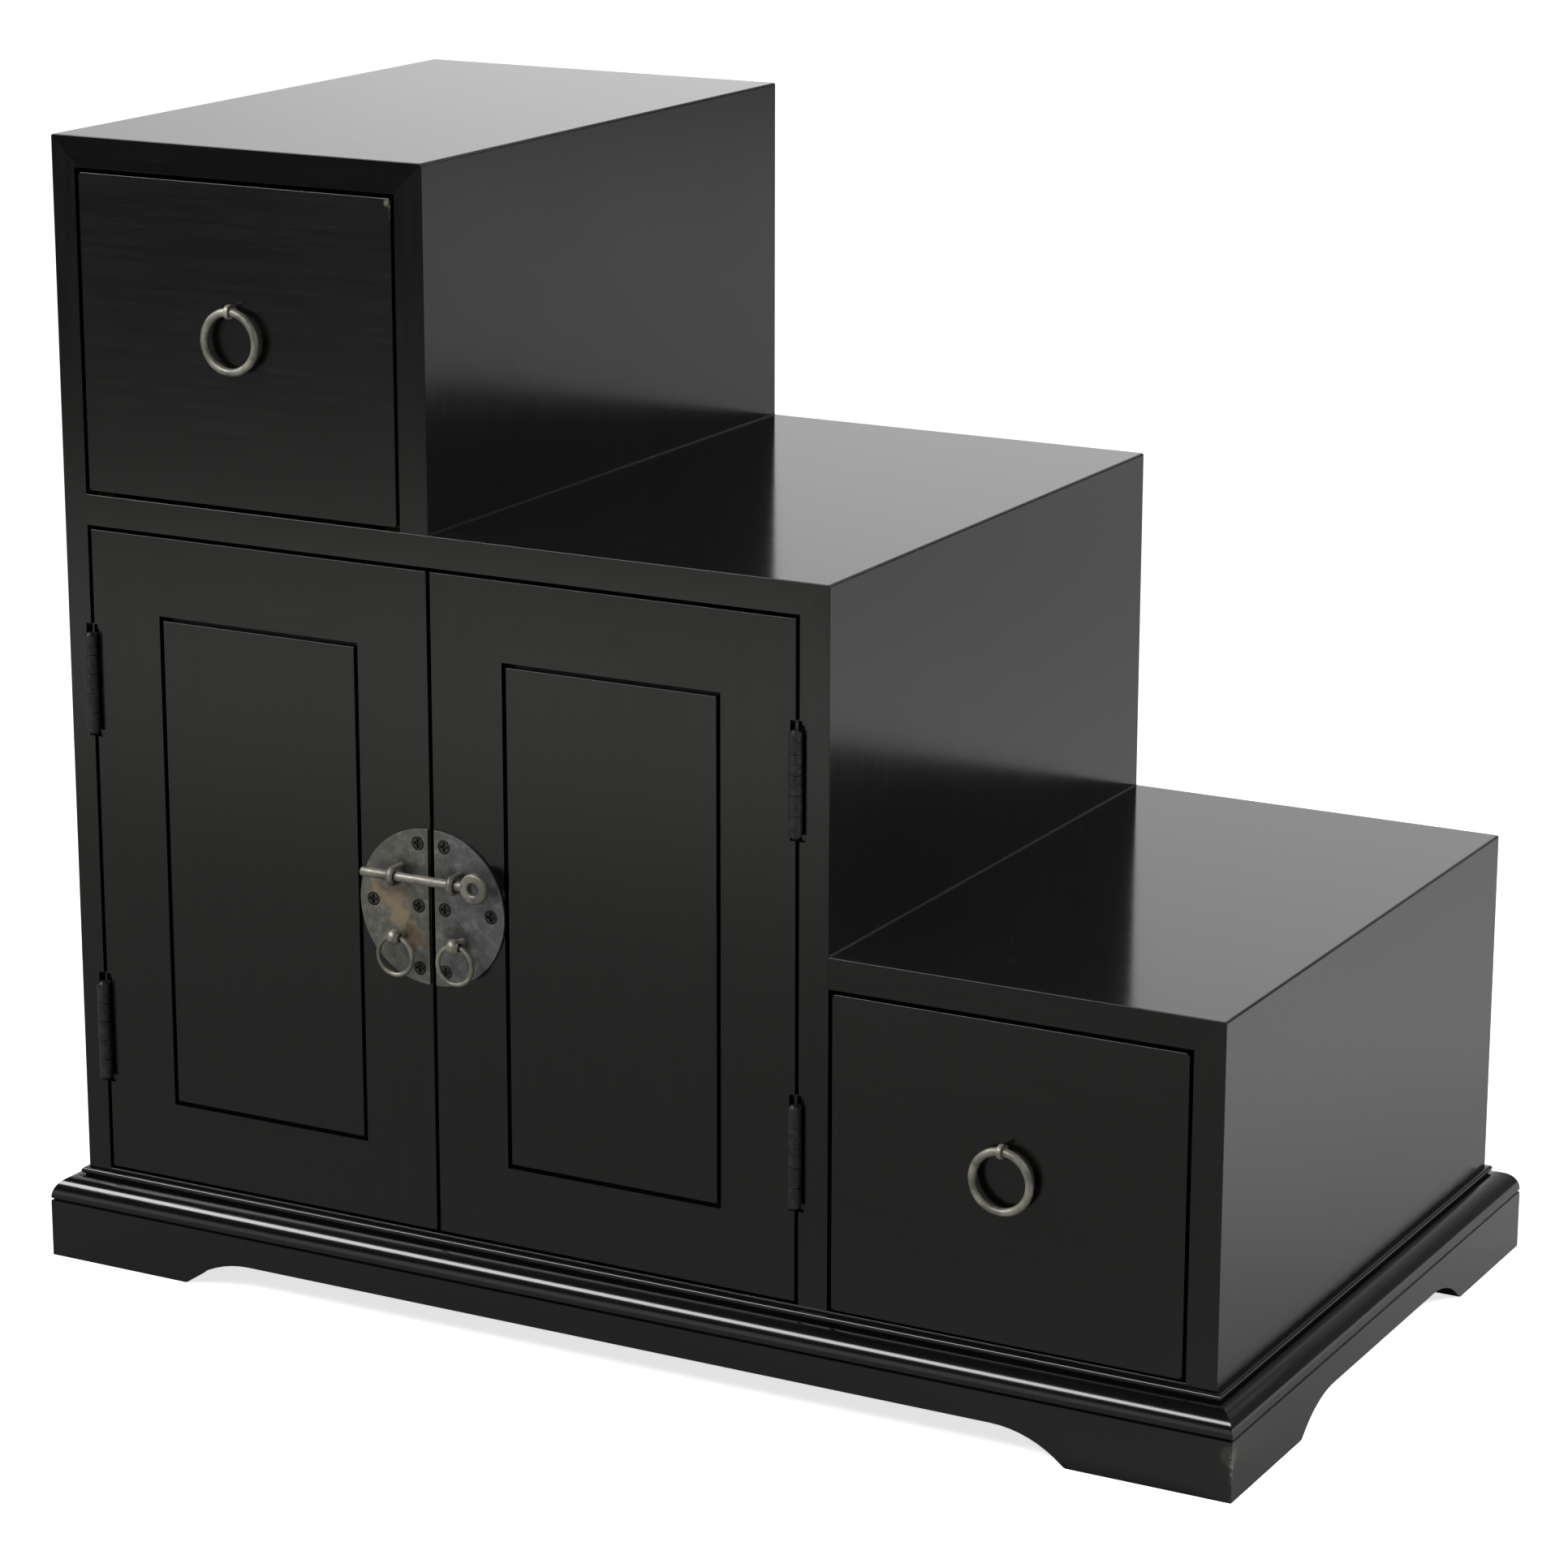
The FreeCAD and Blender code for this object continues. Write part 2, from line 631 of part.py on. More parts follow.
def hinge_screws(name, sides):
    made = piece(name, sides[0][0], ZERO, hinge_low)
    spots = [spot for level, bottom in levels for spot in screw_spots(bottom)]
    rounds = [(y, z, s.leaf_screw_radius) for y, z in spots]
    head = s.leaf_screw_radius + s.leaf
    wide = s.leaf_slot_width / 2
    for axis, side in sides:
        hand = "right" if side > 0 else "left"
        seat = axis + s.front_gap * 0.5 * side
        made.pad("heads_" + hand, "YZ", seat, s.leaf, -side, (), rounds, COUNTERSINK_DEGREES)
        made.pad("shanks_" + hand, "YZ", seat, s.leaf_screw_length, side, (), rounds)
        made.pocket("slots_" + hand, "YZ", axis + slit * side, s.leaf_slot_depth, side,
                    [box(y - wide, z - head, y + wide, z + head) for y, z in spots])


def hinge_seat(board, name, seat, side, edge):
    """Screw holes and barrel notches for one pair of hinges in a board's gap face."""
    spots = [spot for level, bottom in levels for spot in screw_spots(bottom)]
    board.pocket(name + "_holes", "YZ", seat, s.leaf_screw_length, side, (),
                 [(y, z, s.leaf_screw_radius) for y, z in spots])
    board.pocket(name + "_notches", "XZ", ZERO, s.notch_deep, 1, [
        box(min_of(seat, edge), bottom - s.notch_below,
            max_of(seat, edge), bottom + s.hinge_length + s.notch_above)
        for level, bottom in levels
    ])


def min_of(a, b):
    return a if a.value < b.value else b


def max_of(a, b):
    return b if a.value < b.value else a


case_sides = ((axis_left, -1), (axis_right, 1))
hinge_leaves("case_hinge_leaves", case_sides, "case")
hinge_screws("case_hinge_screws", case_sides)
hinge_seat(left_side, "hinge", s.left_board, -1, s.left_board - s.notch_side)
hinge_seat(middle_side, "hinge", inner_right, 1, inner_right + s.notch_side)

pins = piece("hinge_pins", axis_left, axis_y, hinge_low)
axes = [(axis, axis_y) for axis in (axis_left, axis_right)]
for level, bottom in levels:
    top = bottom + s.hinge_length
    pins.pad(level + "_pins", "XY", bottom, s.hinge_length, 1, (),
             [(x, y, s.pin_radius) for x, y in axes])
    caps = [(x, y, s.cap_radius) for x, y in axes]
    pins.pad(level + "_lower_caps", "XY", bottom, s.cap_height, -1, (), caps, -COUNTERSINK_DEGREES)
    pins.pad(level + "_upper_caps", "XY", top, s.cap_height, 1, (), caps, -COUNTERSINK_DEGREES)


# Doors: stiles and rails slotted for a panel whose face is flush with the frame.
slot = (s.slot_front, s.slot_front + s.slot_width)
plate_z = (door_low + door_high) / 2
staple_z = plate_z + s.staple_lift
ring_z = plate_z - s.post_drop


def door(hand, outer, inner, side):
    """side is 1 where the hinge stile is at the right."""
    x0, x1 = min_of(outer, inner), max_of(outer, inner)
    hinge_in = outer - s.frame_width * side
    lock_in = inner + s.frame_width * side

    def stile(name, edge, inside, way):
        made = piece(name, min_of(edge, inside), ZERO, door_low)
        deep = inside + s.slot_depth * way
        made.pad("board", "XY", door_low, door_high - door_low, 1, [[
            (edge, ZERO), (inside, ZERO), (inside, slot[0]), (deep, slot[0]),
            (deep, slot[1]), (inside, slot[1]), (inside, s.door_board), (edge, s.door_board),
        ]])
        seam = [("X", inside - made.corner["x"])]
        made.round("edges", s.edge_round * 0.7, front_edges(s.board * 2, seam))
        return made

    hinge_stile = stile(hand + "_door_hinge_stile", outer, hinge_in, side)
    hinge_seat(hinge_stile, "hinge", outer, -side, outer - s.notch_side * side)
    lock_stile = stile(hand + "_door_lock_stile", inner, lock_in, -side)
    spots = [(split + s.screw_inner * side, plate_z + s.screw_rise * n) for n in (-1, 0, 1)]
    spots.append((lock_in - s.screw_edge * side, plate_z))
    screws = [(x, z, s.screw_shank) for x, z in spots]
    centre = split + s.fitting_offset * side
    legs = [(centre, staple_z + s.staple_radius * n, s.staple_wire) for n in (-1, 1)]
    shank = [(centre, ring_z, s.post_shank)]
    lock_stile.pocket("screw_holes", "XZ", ZERO, s.screw_length, 1, (), screws)
    lock_stile.pocket("staple_holes", "XZ", ZERO, s.staple_bite, 1, (), legs)
    lock_stile.pocket("post_hole", "XZ", ZERO, s.post_bite, 1, (), shank)

    left_in, right_in = min_of(hinge_in, lock_in), max_of(hinge_in, lock_in)
    low_in, high_in = door_low + s.frame_width, door_high - s.frame_width
    for name, z_out, z_in, way in (
        ("_door_bottom_rail", door_low, low_in, -1),
        ("_door_top_rail", door_high, high_in, 1),
    ):
        rail = piece(hand + name, left_in, ZERO, min_of(z_out, z_in))
        deep = z_in + s.slot_depth * way
        rail.pad("board", "YZ", left_in, right_in - left_in, 1, [[
            (ZERO, z_out), (ZERO, z_in), (slot[0], z_in), (slot[0], deep),
            (slot[1], deep), (slot[1], z_in), (s.door_board, z_in), (s.door_board, z_out),
        ]])
        seams = [("X", ZERO), ("X", right_in - left_in), ("Z", z_in - rail.corner["z"])]
        rail.round("edges", s.edge_round * 0.7, front_edges(s.board * 2, seams))
        rail.pad("tenons", "YZ", left_in - s.tongue, right_in - left_in + s.tongue * 2, 1, [
            box(slot[0], min_of(z_out, deep), slot[1], max_of(z_out, deep))
        ])
    panel = piece(hand + "_door_panel", left_in, ZERO, low_in)
    gap = s.panel_gap
    panel.pad("field", "XZ", ZERO, slot[1], 1,
              [box(left_in + gap, low_in + gap, right_in - gap, high_in - gap)])
    panel.round("edges", s.edge_round * 0.7, front_edges(s.board * 2))
    panel.pad("tongue", "XZ", slot[0], s.slot_width, 1, [
        box(left_in - s.tongue, low_in - s.tongue, right_in + s.tongue, high_in + s.tongue)
    ])

    axis = outer + s.front_gap * 0.5 * side
    hinge_leaves(hand + "_door_hinge_leaves", ((axis, -side),), "door")
    hinge_screws(hand + "_door_hinge_screws", ((axis, -side),))

    # Half of the lock plate, with its screws, staple, post and drop ring.
    flat = split + s.plate_edge * side
    plate = piece(hand + "_lock_plate", flat, ZERO, plate_z)
    plate.pad("half", "XZ", ZERO, s.plate_thickness, -1, [[
        arc(flat, plate_z - s.plate_radius, s.plate_radius, side),
        arc(flat + s.plate_radius * side, plate_z, s.plate_radius, side),
        (flat, plate_z + s.plate_radius),
    ]])
    atom = "atan((%s) / (%s))" % ((s.screw_head - s.screw_shank).formula, s.plate_thickness.formula)
    flare = math.degrees(
        math.atan((s.screw_head - s.screw_shank).value / s.plate_thickness.value)
    )
    sinks = plate.pocket("sinks", "XZ", ZERO, s.plate_thickness, -1, (), screws, flare)
    sinks.setExpression("TaperAngle", atom)
    plate.pocket("leg_holes", "XZ", ZERO, s.plate_thickness, -1, (), legs)
    neck = [(centre, ring_z, s.post_neck)]
    plate.pocket("post_hole", "XZ", ZERO, s.plate_thickness, -1, (), neck)

    fixing = piece(hand + "_plate_screws", split, ZERO, plate_z)
    heads = fixing.pad("heads", "XZ", ZERO, s.plate_thickness, -1, (), screws, flare)
    heads.setExpression("TaperAngle", atom)
    fixing.pad("shanks", "XZ", ZERO, s.screw_length, 1, (), screws)
    half, reach = s.cross_width / 2, s.cross_reach
    face = -s.plate_thickness
    fixing.pocket("slots_level", "XZ", face, s.cross_depth, 1,
                  [box(x - reach, z - half, x + reach, z + half) for x, z in spots])
    fixing.pocket("slots_upright", "XZ", face, s.cross_depth, 1,
                  [box(x - half, z - reach, x + half, z + reach) for x, z in spots])

    staple = piece(hand + "_staple", centre, -s.staple_out, staple_z)
    staple.spin("bend", "XZ", -s.staple_out, "H_Axis", (),
                [(centre, staple_z + s.staple_radius, s.staple_wire)], 180)
    staple.pad("legs", "XZ", -s.staple_out, s.staple_out + s.staple_bite, 1, (), legs)

    post = piece(hand + "_ring_post", centre, -s.post_out, ring_z)
    meet = across(s.post_head, s.post_neck)
    post.spin("post", "YZ", centre, "H_Axis", [[
        (-s.post_out - s.post_head, ring_z),
        (s.post_bite, ring_z),
        (s.post_bite, ring_z + s.post_shank),
        (ZERO, ring_z + s.post_shank),
        (ZERO, ring_z + s.post_neck),
        arc(meet - s.post_out, ring_z + s.post_neck, s.post_head, 1),
    ]])
    mouth = s.post_head
    flare_radius = curve_radius(mouth, s.ring_mouth - s.ring_hole)
    post.spin("ring_hole", "XZ", -s.post_out, "H_Axis", [[
        (centre - mouth, ring_z),
        (centre + mouth, ring_z),
        arc(centre + mouth, ring_z + s.ring_mouth, flare_radius, -1),
        arc(centre, ring_z + s.ring_hole, flare_radius, -1),
        (centre - mouth, ring_z + s.ring_mouth),
    ]], cut=True)

    ring = piece(hand + "_drop_ring", centre, -s.post_out, ring_z - s.ring_radius)
    ring.spin("ring", "YZ", centre, "H_Axis", (),
              [(-s.post_out, ring_z, s.ring_wire)])


door("left", s.left_board + s.front_gap, split - s.front_gap / 2, -1)
door("right", inner_right - s.front_gap, split + s.front_gap / 2, 1)

# Sliding pin through both staples, with a thick pierced head at its right end.
bolt = piece("lock_pin", split - s.bolt_tip, -s.staple_out, staple_z)
bolt.pad("rod", "YZ", split - s.bolt_tip, s.bolt_tip + s.bolt_head_at - s.bolt_eye, 1, (),
         [(-s.staple_out, staple_z, s.bolt_radius)])
bolt.round("tip", s.bolt_radius * 0.6,
           lambda edge: len(edge.Vertexes) == 1 and abs(edge.Vertexes[0].X) < NEAR)
head_x = split + s.bolt_head_at
head_front = -s.staple_out - s.bolt_head_flat / 2
head_back = -s.staple_out + s.bolt_head_flat / 2
rim, turn_z = staple_z + s.bolt_head, staple_z + s.bolt_head - s.bolt_head_round
bolt.spin("head", "YZ", head_x, "H_Axis", [[
    (head_front, staple_z),
    (head_back, staple_z),
    arc(head_back, turn_z, s.bolt_head_round, 1),
    (head_back - s.bolt_head_round, rim),
    arc(head_front + s.bolt_head_round, rim, s.bolt_head_round, 1),
    (head_front, turn_z),
]])
bolt.pocket("head_hole", "XZ", head_front, s.bolt_head_flat, 1, (),
            [(head_x, staple_z, s.bolt_eye)])


# Drawers: sides lapped into the ends of the front, a thin bottom let into slots.
def drawer(level, x0, x1, z0, z1, under):
    left, right = x0 + s.front_gap, x1 - s.front_gap
    low, high = z0 + under, z1 - s.front_gap
    run_low, run_high = z0 + s.run_gap, high - s.drawer_drop
    lap = s.drawer_front - s.drawer_lap
    inner_left, inner_right_face = left + s.drawer_side, right - s.drawer_side
    bottom = run_low + s.bottom_lift
    eye_x = (x0 + x1) / 2
    eye_z = z1 - s.eye_drop

    front = piece(level + "_drawer_front", left, ZERO, low)
    front.pad("board", "XZ", ZERO, s.drawer_front, 1,
              [rounded_box(left, low, right, high, s.drawer_corner)])
    front.round("edges", s.edge_round, front_edges(s.board * 2))
    front.pocket("laps", "XY", run_high, run_high - low, -1, [
        box(left, lap, inner_left, s.drawer_front),
        box(inner_right_face, lap, right, s.drawer_front),
    ])
    front.pocket("bottom_slot", "XZ", s.drawer_front, s.bottom_slot, -1,
                 [box(inner_left, bottom, inner_right_face, bottom + s.drawer_bottom)])
    front.pocket("eye_hole", "XZ", ZERO, s.drawer_front, 1, (), [(eye_x, eye_z, s.eye_stem)])

    for hand, x, way in (("left", left, 1), ("right", right, -1)):
        inside = x + s.drawer_side * way
        deep = inside - s.bottom_slot * way
        made = piece("%s_drawer_%s" % (level, hand), min_of(x, inside), lap, run_low)
        made.pad("board", "XZ", lap, drawer_end - lap, 1,
                 [box(min_of(x, inside), run_low, max_of(x, inside), run_high)])
        made.pocket("bottom_slot", "XZ", lap, drawer_end - lap, 1, [
            box(min_of(inside, deep), bottom, max_of(inside, deep), bottom + s.drawer_bottom)
        ])
    over = bottom + s.drawer_bottom
    back = piece(level + "_drawer_back", inner_left, drawer_end - s.drawer_side, over)
    back.pad("board", "XZ", drawer_end - s.drawer_side, s.drawer_side, 1,
             [box(inner_left, over, inner_right_face, run_high)])
    sheet_left, sheet_right = inner_left - s.bottom_slot, inner_right_face + s.bottom_slot
    floor = piece(level + "_drawer_bottom", sheet_left, lap, bottom)
    slot_back = s.drawer_front - s.bottom_slot
    floor.pad("sheet", "XY", bottom, s.drawer_bottom, 1, [[
        (inner_left, slot_back), (inner_right_face, slot_back),
        (inner_right_face, s.drawer_front), (sheet_right, s.drawer_front),
        (sheet_right, drawer_end), (sheet_left, drawer_end),
        (sheet_left, s.drawer_front), (inner_left, s.drawer_front),
    ]])

    eye = piece(level + "_pull_eye", eye_x, -s.eye_out, eye_z)
    eye.spin("loop", "XZ", -s.eye_out, "H_Axis", (),
             [(eye_x, eye_z + s.eye_radius, s.eye_wire)])
    stem_start = s.eye_radius + s.eye_wire / 4 - s.eye_out
    eye.pad("stem", "XZ", stem_start, s.drawer_front + s.eye_wire - stem_start, 1, (),
            [(eye_x, eye_z, s.eye_stem)])
    eye.pad("clench", "XZ", s.drawer_front, s.eye_wire * 2, 1, [
        box(eye_x - s.clench_reach, eye_z - s.eye_wire, eye_x + s.clench_reach, eye_z + s.eye_wire)
    ])
    ring = piece(level + "_pull_ring", eye_x, -s.eye_out, eye_z - s.pull_radius)
    ring.spin("ring", "YZ", eye_x, "H_Axis", (), [(-s.eye_out, eye_z, s.pull_wire)])


drawer("upper", s.left_board, s.tall_width - s.board, mid_top, high_top - s.board, s.front_gap)
drawer("lower", s.middle_width, s.case_width - s.board, s.sill, low_top - s.board, s.drawer_gap)

doc.recompute()
broken = [t.Label for t in doc.Objects if "Invalid" in t.State or "Error" in t.State]
if broken:
    raise RuntimeError("did not rebuild: " + ", ".join(broken))
os.makedirs("parts", exist_ok=True)
for made in PIECES:
    shape = made.body.Shape
    if shape.isNull() or not shape.isValid() or not shape.Solids:
        raise RuntimeError("%s has no sound shape" % made.name)
    shape.exportStep("parts/%s.step" % made.name)
print(len(PIECES), "pieces written")
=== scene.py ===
import math

import bpy
from bpy.props import FloatProperty, FloatVectorProperty, IntProperty, PointerProperty
from mathutils import Matrix, Vector


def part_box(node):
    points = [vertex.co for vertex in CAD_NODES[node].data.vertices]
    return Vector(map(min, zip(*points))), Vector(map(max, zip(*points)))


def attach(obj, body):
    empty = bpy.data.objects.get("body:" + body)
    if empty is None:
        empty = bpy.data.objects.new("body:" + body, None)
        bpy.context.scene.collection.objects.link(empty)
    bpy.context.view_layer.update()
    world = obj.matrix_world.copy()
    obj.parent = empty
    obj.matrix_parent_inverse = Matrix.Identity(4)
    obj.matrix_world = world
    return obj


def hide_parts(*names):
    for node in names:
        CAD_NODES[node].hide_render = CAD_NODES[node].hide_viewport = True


bl_info = {
    "name": "Step chest tansu",
    "version": (1, 0, 0),
    "blender": (4, 5, 0),
    "location": "3D View > Sidebar > Tansu",
    "description": "Lacquer, ironwork and a plain stage for a black step chest",
    "category": "Object",
}

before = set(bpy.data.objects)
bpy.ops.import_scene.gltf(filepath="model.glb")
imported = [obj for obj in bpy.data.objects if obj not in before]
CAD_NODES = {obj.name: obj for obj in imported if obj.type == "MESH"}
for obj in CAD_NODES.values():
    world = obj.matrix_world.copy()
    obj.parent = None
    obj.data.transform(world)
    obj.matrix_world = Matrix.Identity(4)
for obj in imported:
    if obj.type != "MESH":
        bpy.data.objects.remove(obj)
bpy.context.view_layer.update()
MM = 0.001
HANDS = ("left", "right")
LEVELS = ("upper", "lower")


def span(node):
    """Middle and half size of a part of the chest."""
    low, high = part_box(node)
    return (low + high) / 2, (high - low) / 2


# Sizes of the fittings, in metres, that the boxes of the chest's parts don't give.
EYE_INSET = 1.0 * MM
EYE_LEG = 0.75 * MM
EYE_END = 0.9 * MM
POST_COLLAR = 12.4 * MM
POST_SHANK = 12.1 * MM
STAPLE_STEP = 0.2 * MM
STAPLE_LEG_SHARE = 0.8
PIN_HOLE = 2.9 * MM
PIN_BEVEL = 1.2 * MM
PIN_INSET = 0.8 * MM
WELD = 0.01 * MM

# Rust and burnt metal on the lock plate, and painted shade, partly soot, beside the staples: millimetres to
# the right of its middle and above it, the reach of each spot in millimetres, and its strength.
PLATE_RUST = (
    (-30, 6, 10, 0.8), (-21, 1, 13, 0.8), (-17, -5, 12, 0.85), (-14, -11, 10, 1.0), (-8, -17, 8, 0.9),
)
PLATE_BURNS = ((-13, -12, 7, 1.0), (-8, -18, 8, 1.0), (18, -18, 6, 0.9))
# Spots of painted shade, partly soot, beside the staples.
PLATE_SHADE_AND_SOOT = ((-13, 17, 10, 1.0), (13, 15, 10, 1.0), (14, -12, 10, 1.0))

# Each lamp's size, its place and the point that it looks at, in metres.
KEY_LAMP = ((2.0, 0.45), (-0.98, -1.34, 1.62), (0.0, -0.17, 0.04))
NEAR_LAMP = ((0.5, 0.5), (1.2, 0.0, 0.9), (0.45, 0.2, 0.0))
FAR_LAMP = ((1.0, 1.0), (2.0, 2.7, 2.0), (1.3, 2.6, 0.0))

# Each light of the room: its direction and its level among the stage's settings, and the cosines of
# the angles where it starts and where it is full.
ROOM_LIGHTS = (
    ("bright_wall", "back_light", 0.75, 0.98),
    ("bright_patch", "patch_light", 0.96, 0.99),
    ("low_patch", "low_light", 0.80, 0.885),
    ("side_patch", "side_light", 0.84, 0.95),
)

# The floor, in metres: its size, its middle, how far its plainest white reaches, and where its colour
# changes from one to the next on the way from the front to the back. These colours, which the camera never
# sees,
# are painted light and shade: they stand in for how brightly each stretch of floor is lit.
FLOOR_SIZE = 24
FLOOR_MIDDLE = (0, 4, 0)
FLOOR_REACH = 5.0
FAR_TO_MIDDLE = (-1.9, -1.35)
MIDDLE_TO_FRONT = (-1.3, -0.75)
FRONT_TO_BACK = (-0.45, 0.5)


def length(name, note, metres):
    return FloatProperty(
        name=name, description=note, default=metres, min=0, subtype="DISTANCE", unit="LENGTH")


def colour(name, note, value):
    return FloatVectorProperty(
        name=name, description=note, default=value, size=3, min=0, max=1, subtype="COLOR")


def share(name, note, value):
    return FloatProperty(name=name, description=note, default=value, min=0, max=1, subtype="FACTOR")


def amount(name, note, value):
    return FloatProperty(name=name, description=note, default=value)


def watts(name, note, value):
    return FloatProperty(name=name, description=note, default=value, unit="POWER")


def bearing(name, note, value):
    return FloatVectorProperty(name=name, description=note, default=value, subtype="DIRECTION")


class TANSU_PG_lacquer(bpy.types.PropertyGroup):
    """The black lacquer and the wood under it."""

    black: colour("Lacquer", "Colour of the lacquer film", (0.0018, 0.0019, 0.0017))
    rubbed: colour("Rubbed edge", "Pale ground where an edge is rubbed through", (0.20, 0.19, 0.15))
    dust: colour("Dust", "Dust lying on the treads and in the joints", (0.30, 0.30, 0.29))
    tread_gloss: share("Tread roughness", "Roughness of the polished treads", 0.10)
    side_gloss: share("Side roughness", "Roughness of the sides", 0.165)
    front_gloss: share("Front roughness", "Roughness of doors and drawer fronts", 0.19)
    plinth_gloss: share("Plinth roughness", "Roughness of the plinth", 0.12)
    grain_stretch: share("Grain length", "How far the pores are drawn out along the grain", 0.045)
    pore_width: length("Pore width", "Width of an open pore", 0.75 * MM)
    pore_depth: length("Pore depth", "How deep the pores sink the film", 0.005 * MM)
    wave_height: length("Brush waves", "Height of the slow waves in the film", 0.03 * MM)
    rub_width: length("Rub width", "How far a rubbed edge reaches into the face", 1.8 * MM)


class TANSU_PG_wood(bpy.types.PropertyGroup):
    """The unfinished wood of the drawer boxes and blocks, its colours kept dark as painted shade for the
    wood seen through the gaps.
    """

    # Darker than plain drawer wood, so that the gaps read dark: partly painted shade.
    pale: colour("Early wood", "Pale bands of the grain", (0.16, 0.095, 0.05))
    dark: colour("Late wood", "Dark bands of the grain", (0.09, 0.05, 0.025))
    ring_width: length("Ring width", "Spacing of the growth rings", 5 * MM)


class TANSU_PG_metal(bpy.types.PropertyGroup):
    """Pewter, bronze and blackened iron."""

    pewter: colour("Pewter", "Lock plate", (0.182, 0.182, 0.156))
    blued: colour("Blued", "Bluish bloom on the right half", (0.165, 0.165, 0.177))
    rust: colour("Rust", "Rust under the pin and at the posts", (0.27, 0.205, 0.125))
    bronze: colour("Bronze", "Rings, posts, staples and pin", (0.37, 0.35, 0.295))
    tarnish: colour("Tarnish", "Dark tarnish in the hollows", (0.045, 0.043, 0.038))
    iron: colour("Black iron", "Hinges", (0.030, 0.030, 0.031))
    screw: colour("Screws", "Dark screws", (0.035, 0.035, 0.033))
    hammer: length("Hammering", "Unevenness of the forged pieces", 0.16 * MM)


class TANSU_PG_fittings(bpy.types.PropertyGroup):
    """Sizes of the forged fittings, taken from the chest."""

    pull_wire: length("Pull wire", "Radius of the pull ring's wire", span("upper_pull_ring")[1].y)
    drop_wire: length("Drop ring wire", "Radius of the drop ring's wire", span("left_drop_ring")[1].y)
    eye_width: length("Eye width", "Half width of the eye's flat wire", 1.15 * MM)
    eye_thickness: length("Eye thickness", "Half thickness of the eye's flat wire", 0.7 * MM)
    staple_width: length("Staple width", "Half width of the staple's wire", 1.7 * MM)
    staple_thickness: length(
        "Staple thickness", "Half thickness of the staple's wire", span("left_staple")[1].x)
    bead: length("Joint bead", "Lacquer bead where a riser meets a tread", 0.8 * MM)
    wire_sides: IntProperty(name="Wire sides", description="Faces round a wire", default=20, min=8, max=48)
    ring_steps: IntProperty(name="Ring steps", description="Faces along a ring", default=96, min=24, max=256)


class TANSU_PG_stage(bpy.types.PropertyGroup):
    """Floor, light and camera."""

    # The floor's colours are painted light and shade, seen only in reflections and bounced light: how
    # brightly each stretch is lit.
    floor_front: colour(
        "Floor before the chest", "Colour of the floor close in front", (0.330, 0.334, 0.317))
    floor_middle: colour(
        "Floor farther in front", "Colour of the floor a metre in front", (0.860, 0.868, 0.824))
    floor_far: colour("Floor far in front", "Colour of the floor beyond that", (0.50, 0.505, 0.48))
    floor_back: colour("Floor behind the chest", "Colour of the floor at the back", (0.84, 0.84, 0.85))
    floor_glow: share("Floor glow", "Share of plain white in the floor as the camera sees it", 0.75)
    bright_wall: bearing("Bright wall", "Which way the bright wall lies", (-0.2, 0.98, 0))
    bright_patch: bearing("Bright patch", "Which way the bright patch of ceiling lies", (-0.62, 0.42, 0.66))
    low_patch: bearing("Low patch", "Which way the room's paler lower part lies", (-0.45, -0.85, -0.27))
    side_patch: bearing("Side patch", "Which way the paler wall at the right lies", (0.42, 0.87, 0.25))
    back_light: amount("Back level", "Brightness of the wall behind the chest", 1.18)
    patch_light: amount("Patch level", "Brightness of the patch of ceiling", 1.4)
    low_light: amount("Low level", "Brightness of the room's lower part in front", 0.9)
    side_light: amount("Side level", "Brightness of the wall at the right", 0.13)
    dim_light: amount("Dim level", "Brightness of the rest of the room", 0.075)
    key: watts("Key light", "Soft light from the front left", 40)
    near: watts("Near light", "Light on the floor beside the chest", 13.5)
    far: watts("Far light", "Light on the floor behind the chest", 32)
    focal: FloatProperty(name="Focal length", description="Camera lens in millimetres", default=111.0927)
    camera_at: FloatVectorProperty(
        name="Camera place", description="Where the camera stands", subtype="TRANSLATION", unit="LENGTH",
        default=(1.07916777, -2.00568371, 0.86721332))
    camera_turn: FloatVectorProperty(
        name="Camera turn", description="How the camera is turned", subtype="EULER", unit="ROTATION",
        default=(math.radians(74.65393398), math.radians(-0.11745453), math.radians(28.37528766)))


SETTINGS = {
    "tansu_lacquer": TANSU_PG_lacquer,
    "tansu_wood": TANSU_PG_wood,
    "tansu_metal": TANSU_PG_metal,
    "tansu_fittings": TANSU_PG_fittings,
    "tansu_stage": TANSU_PG_stage,
}


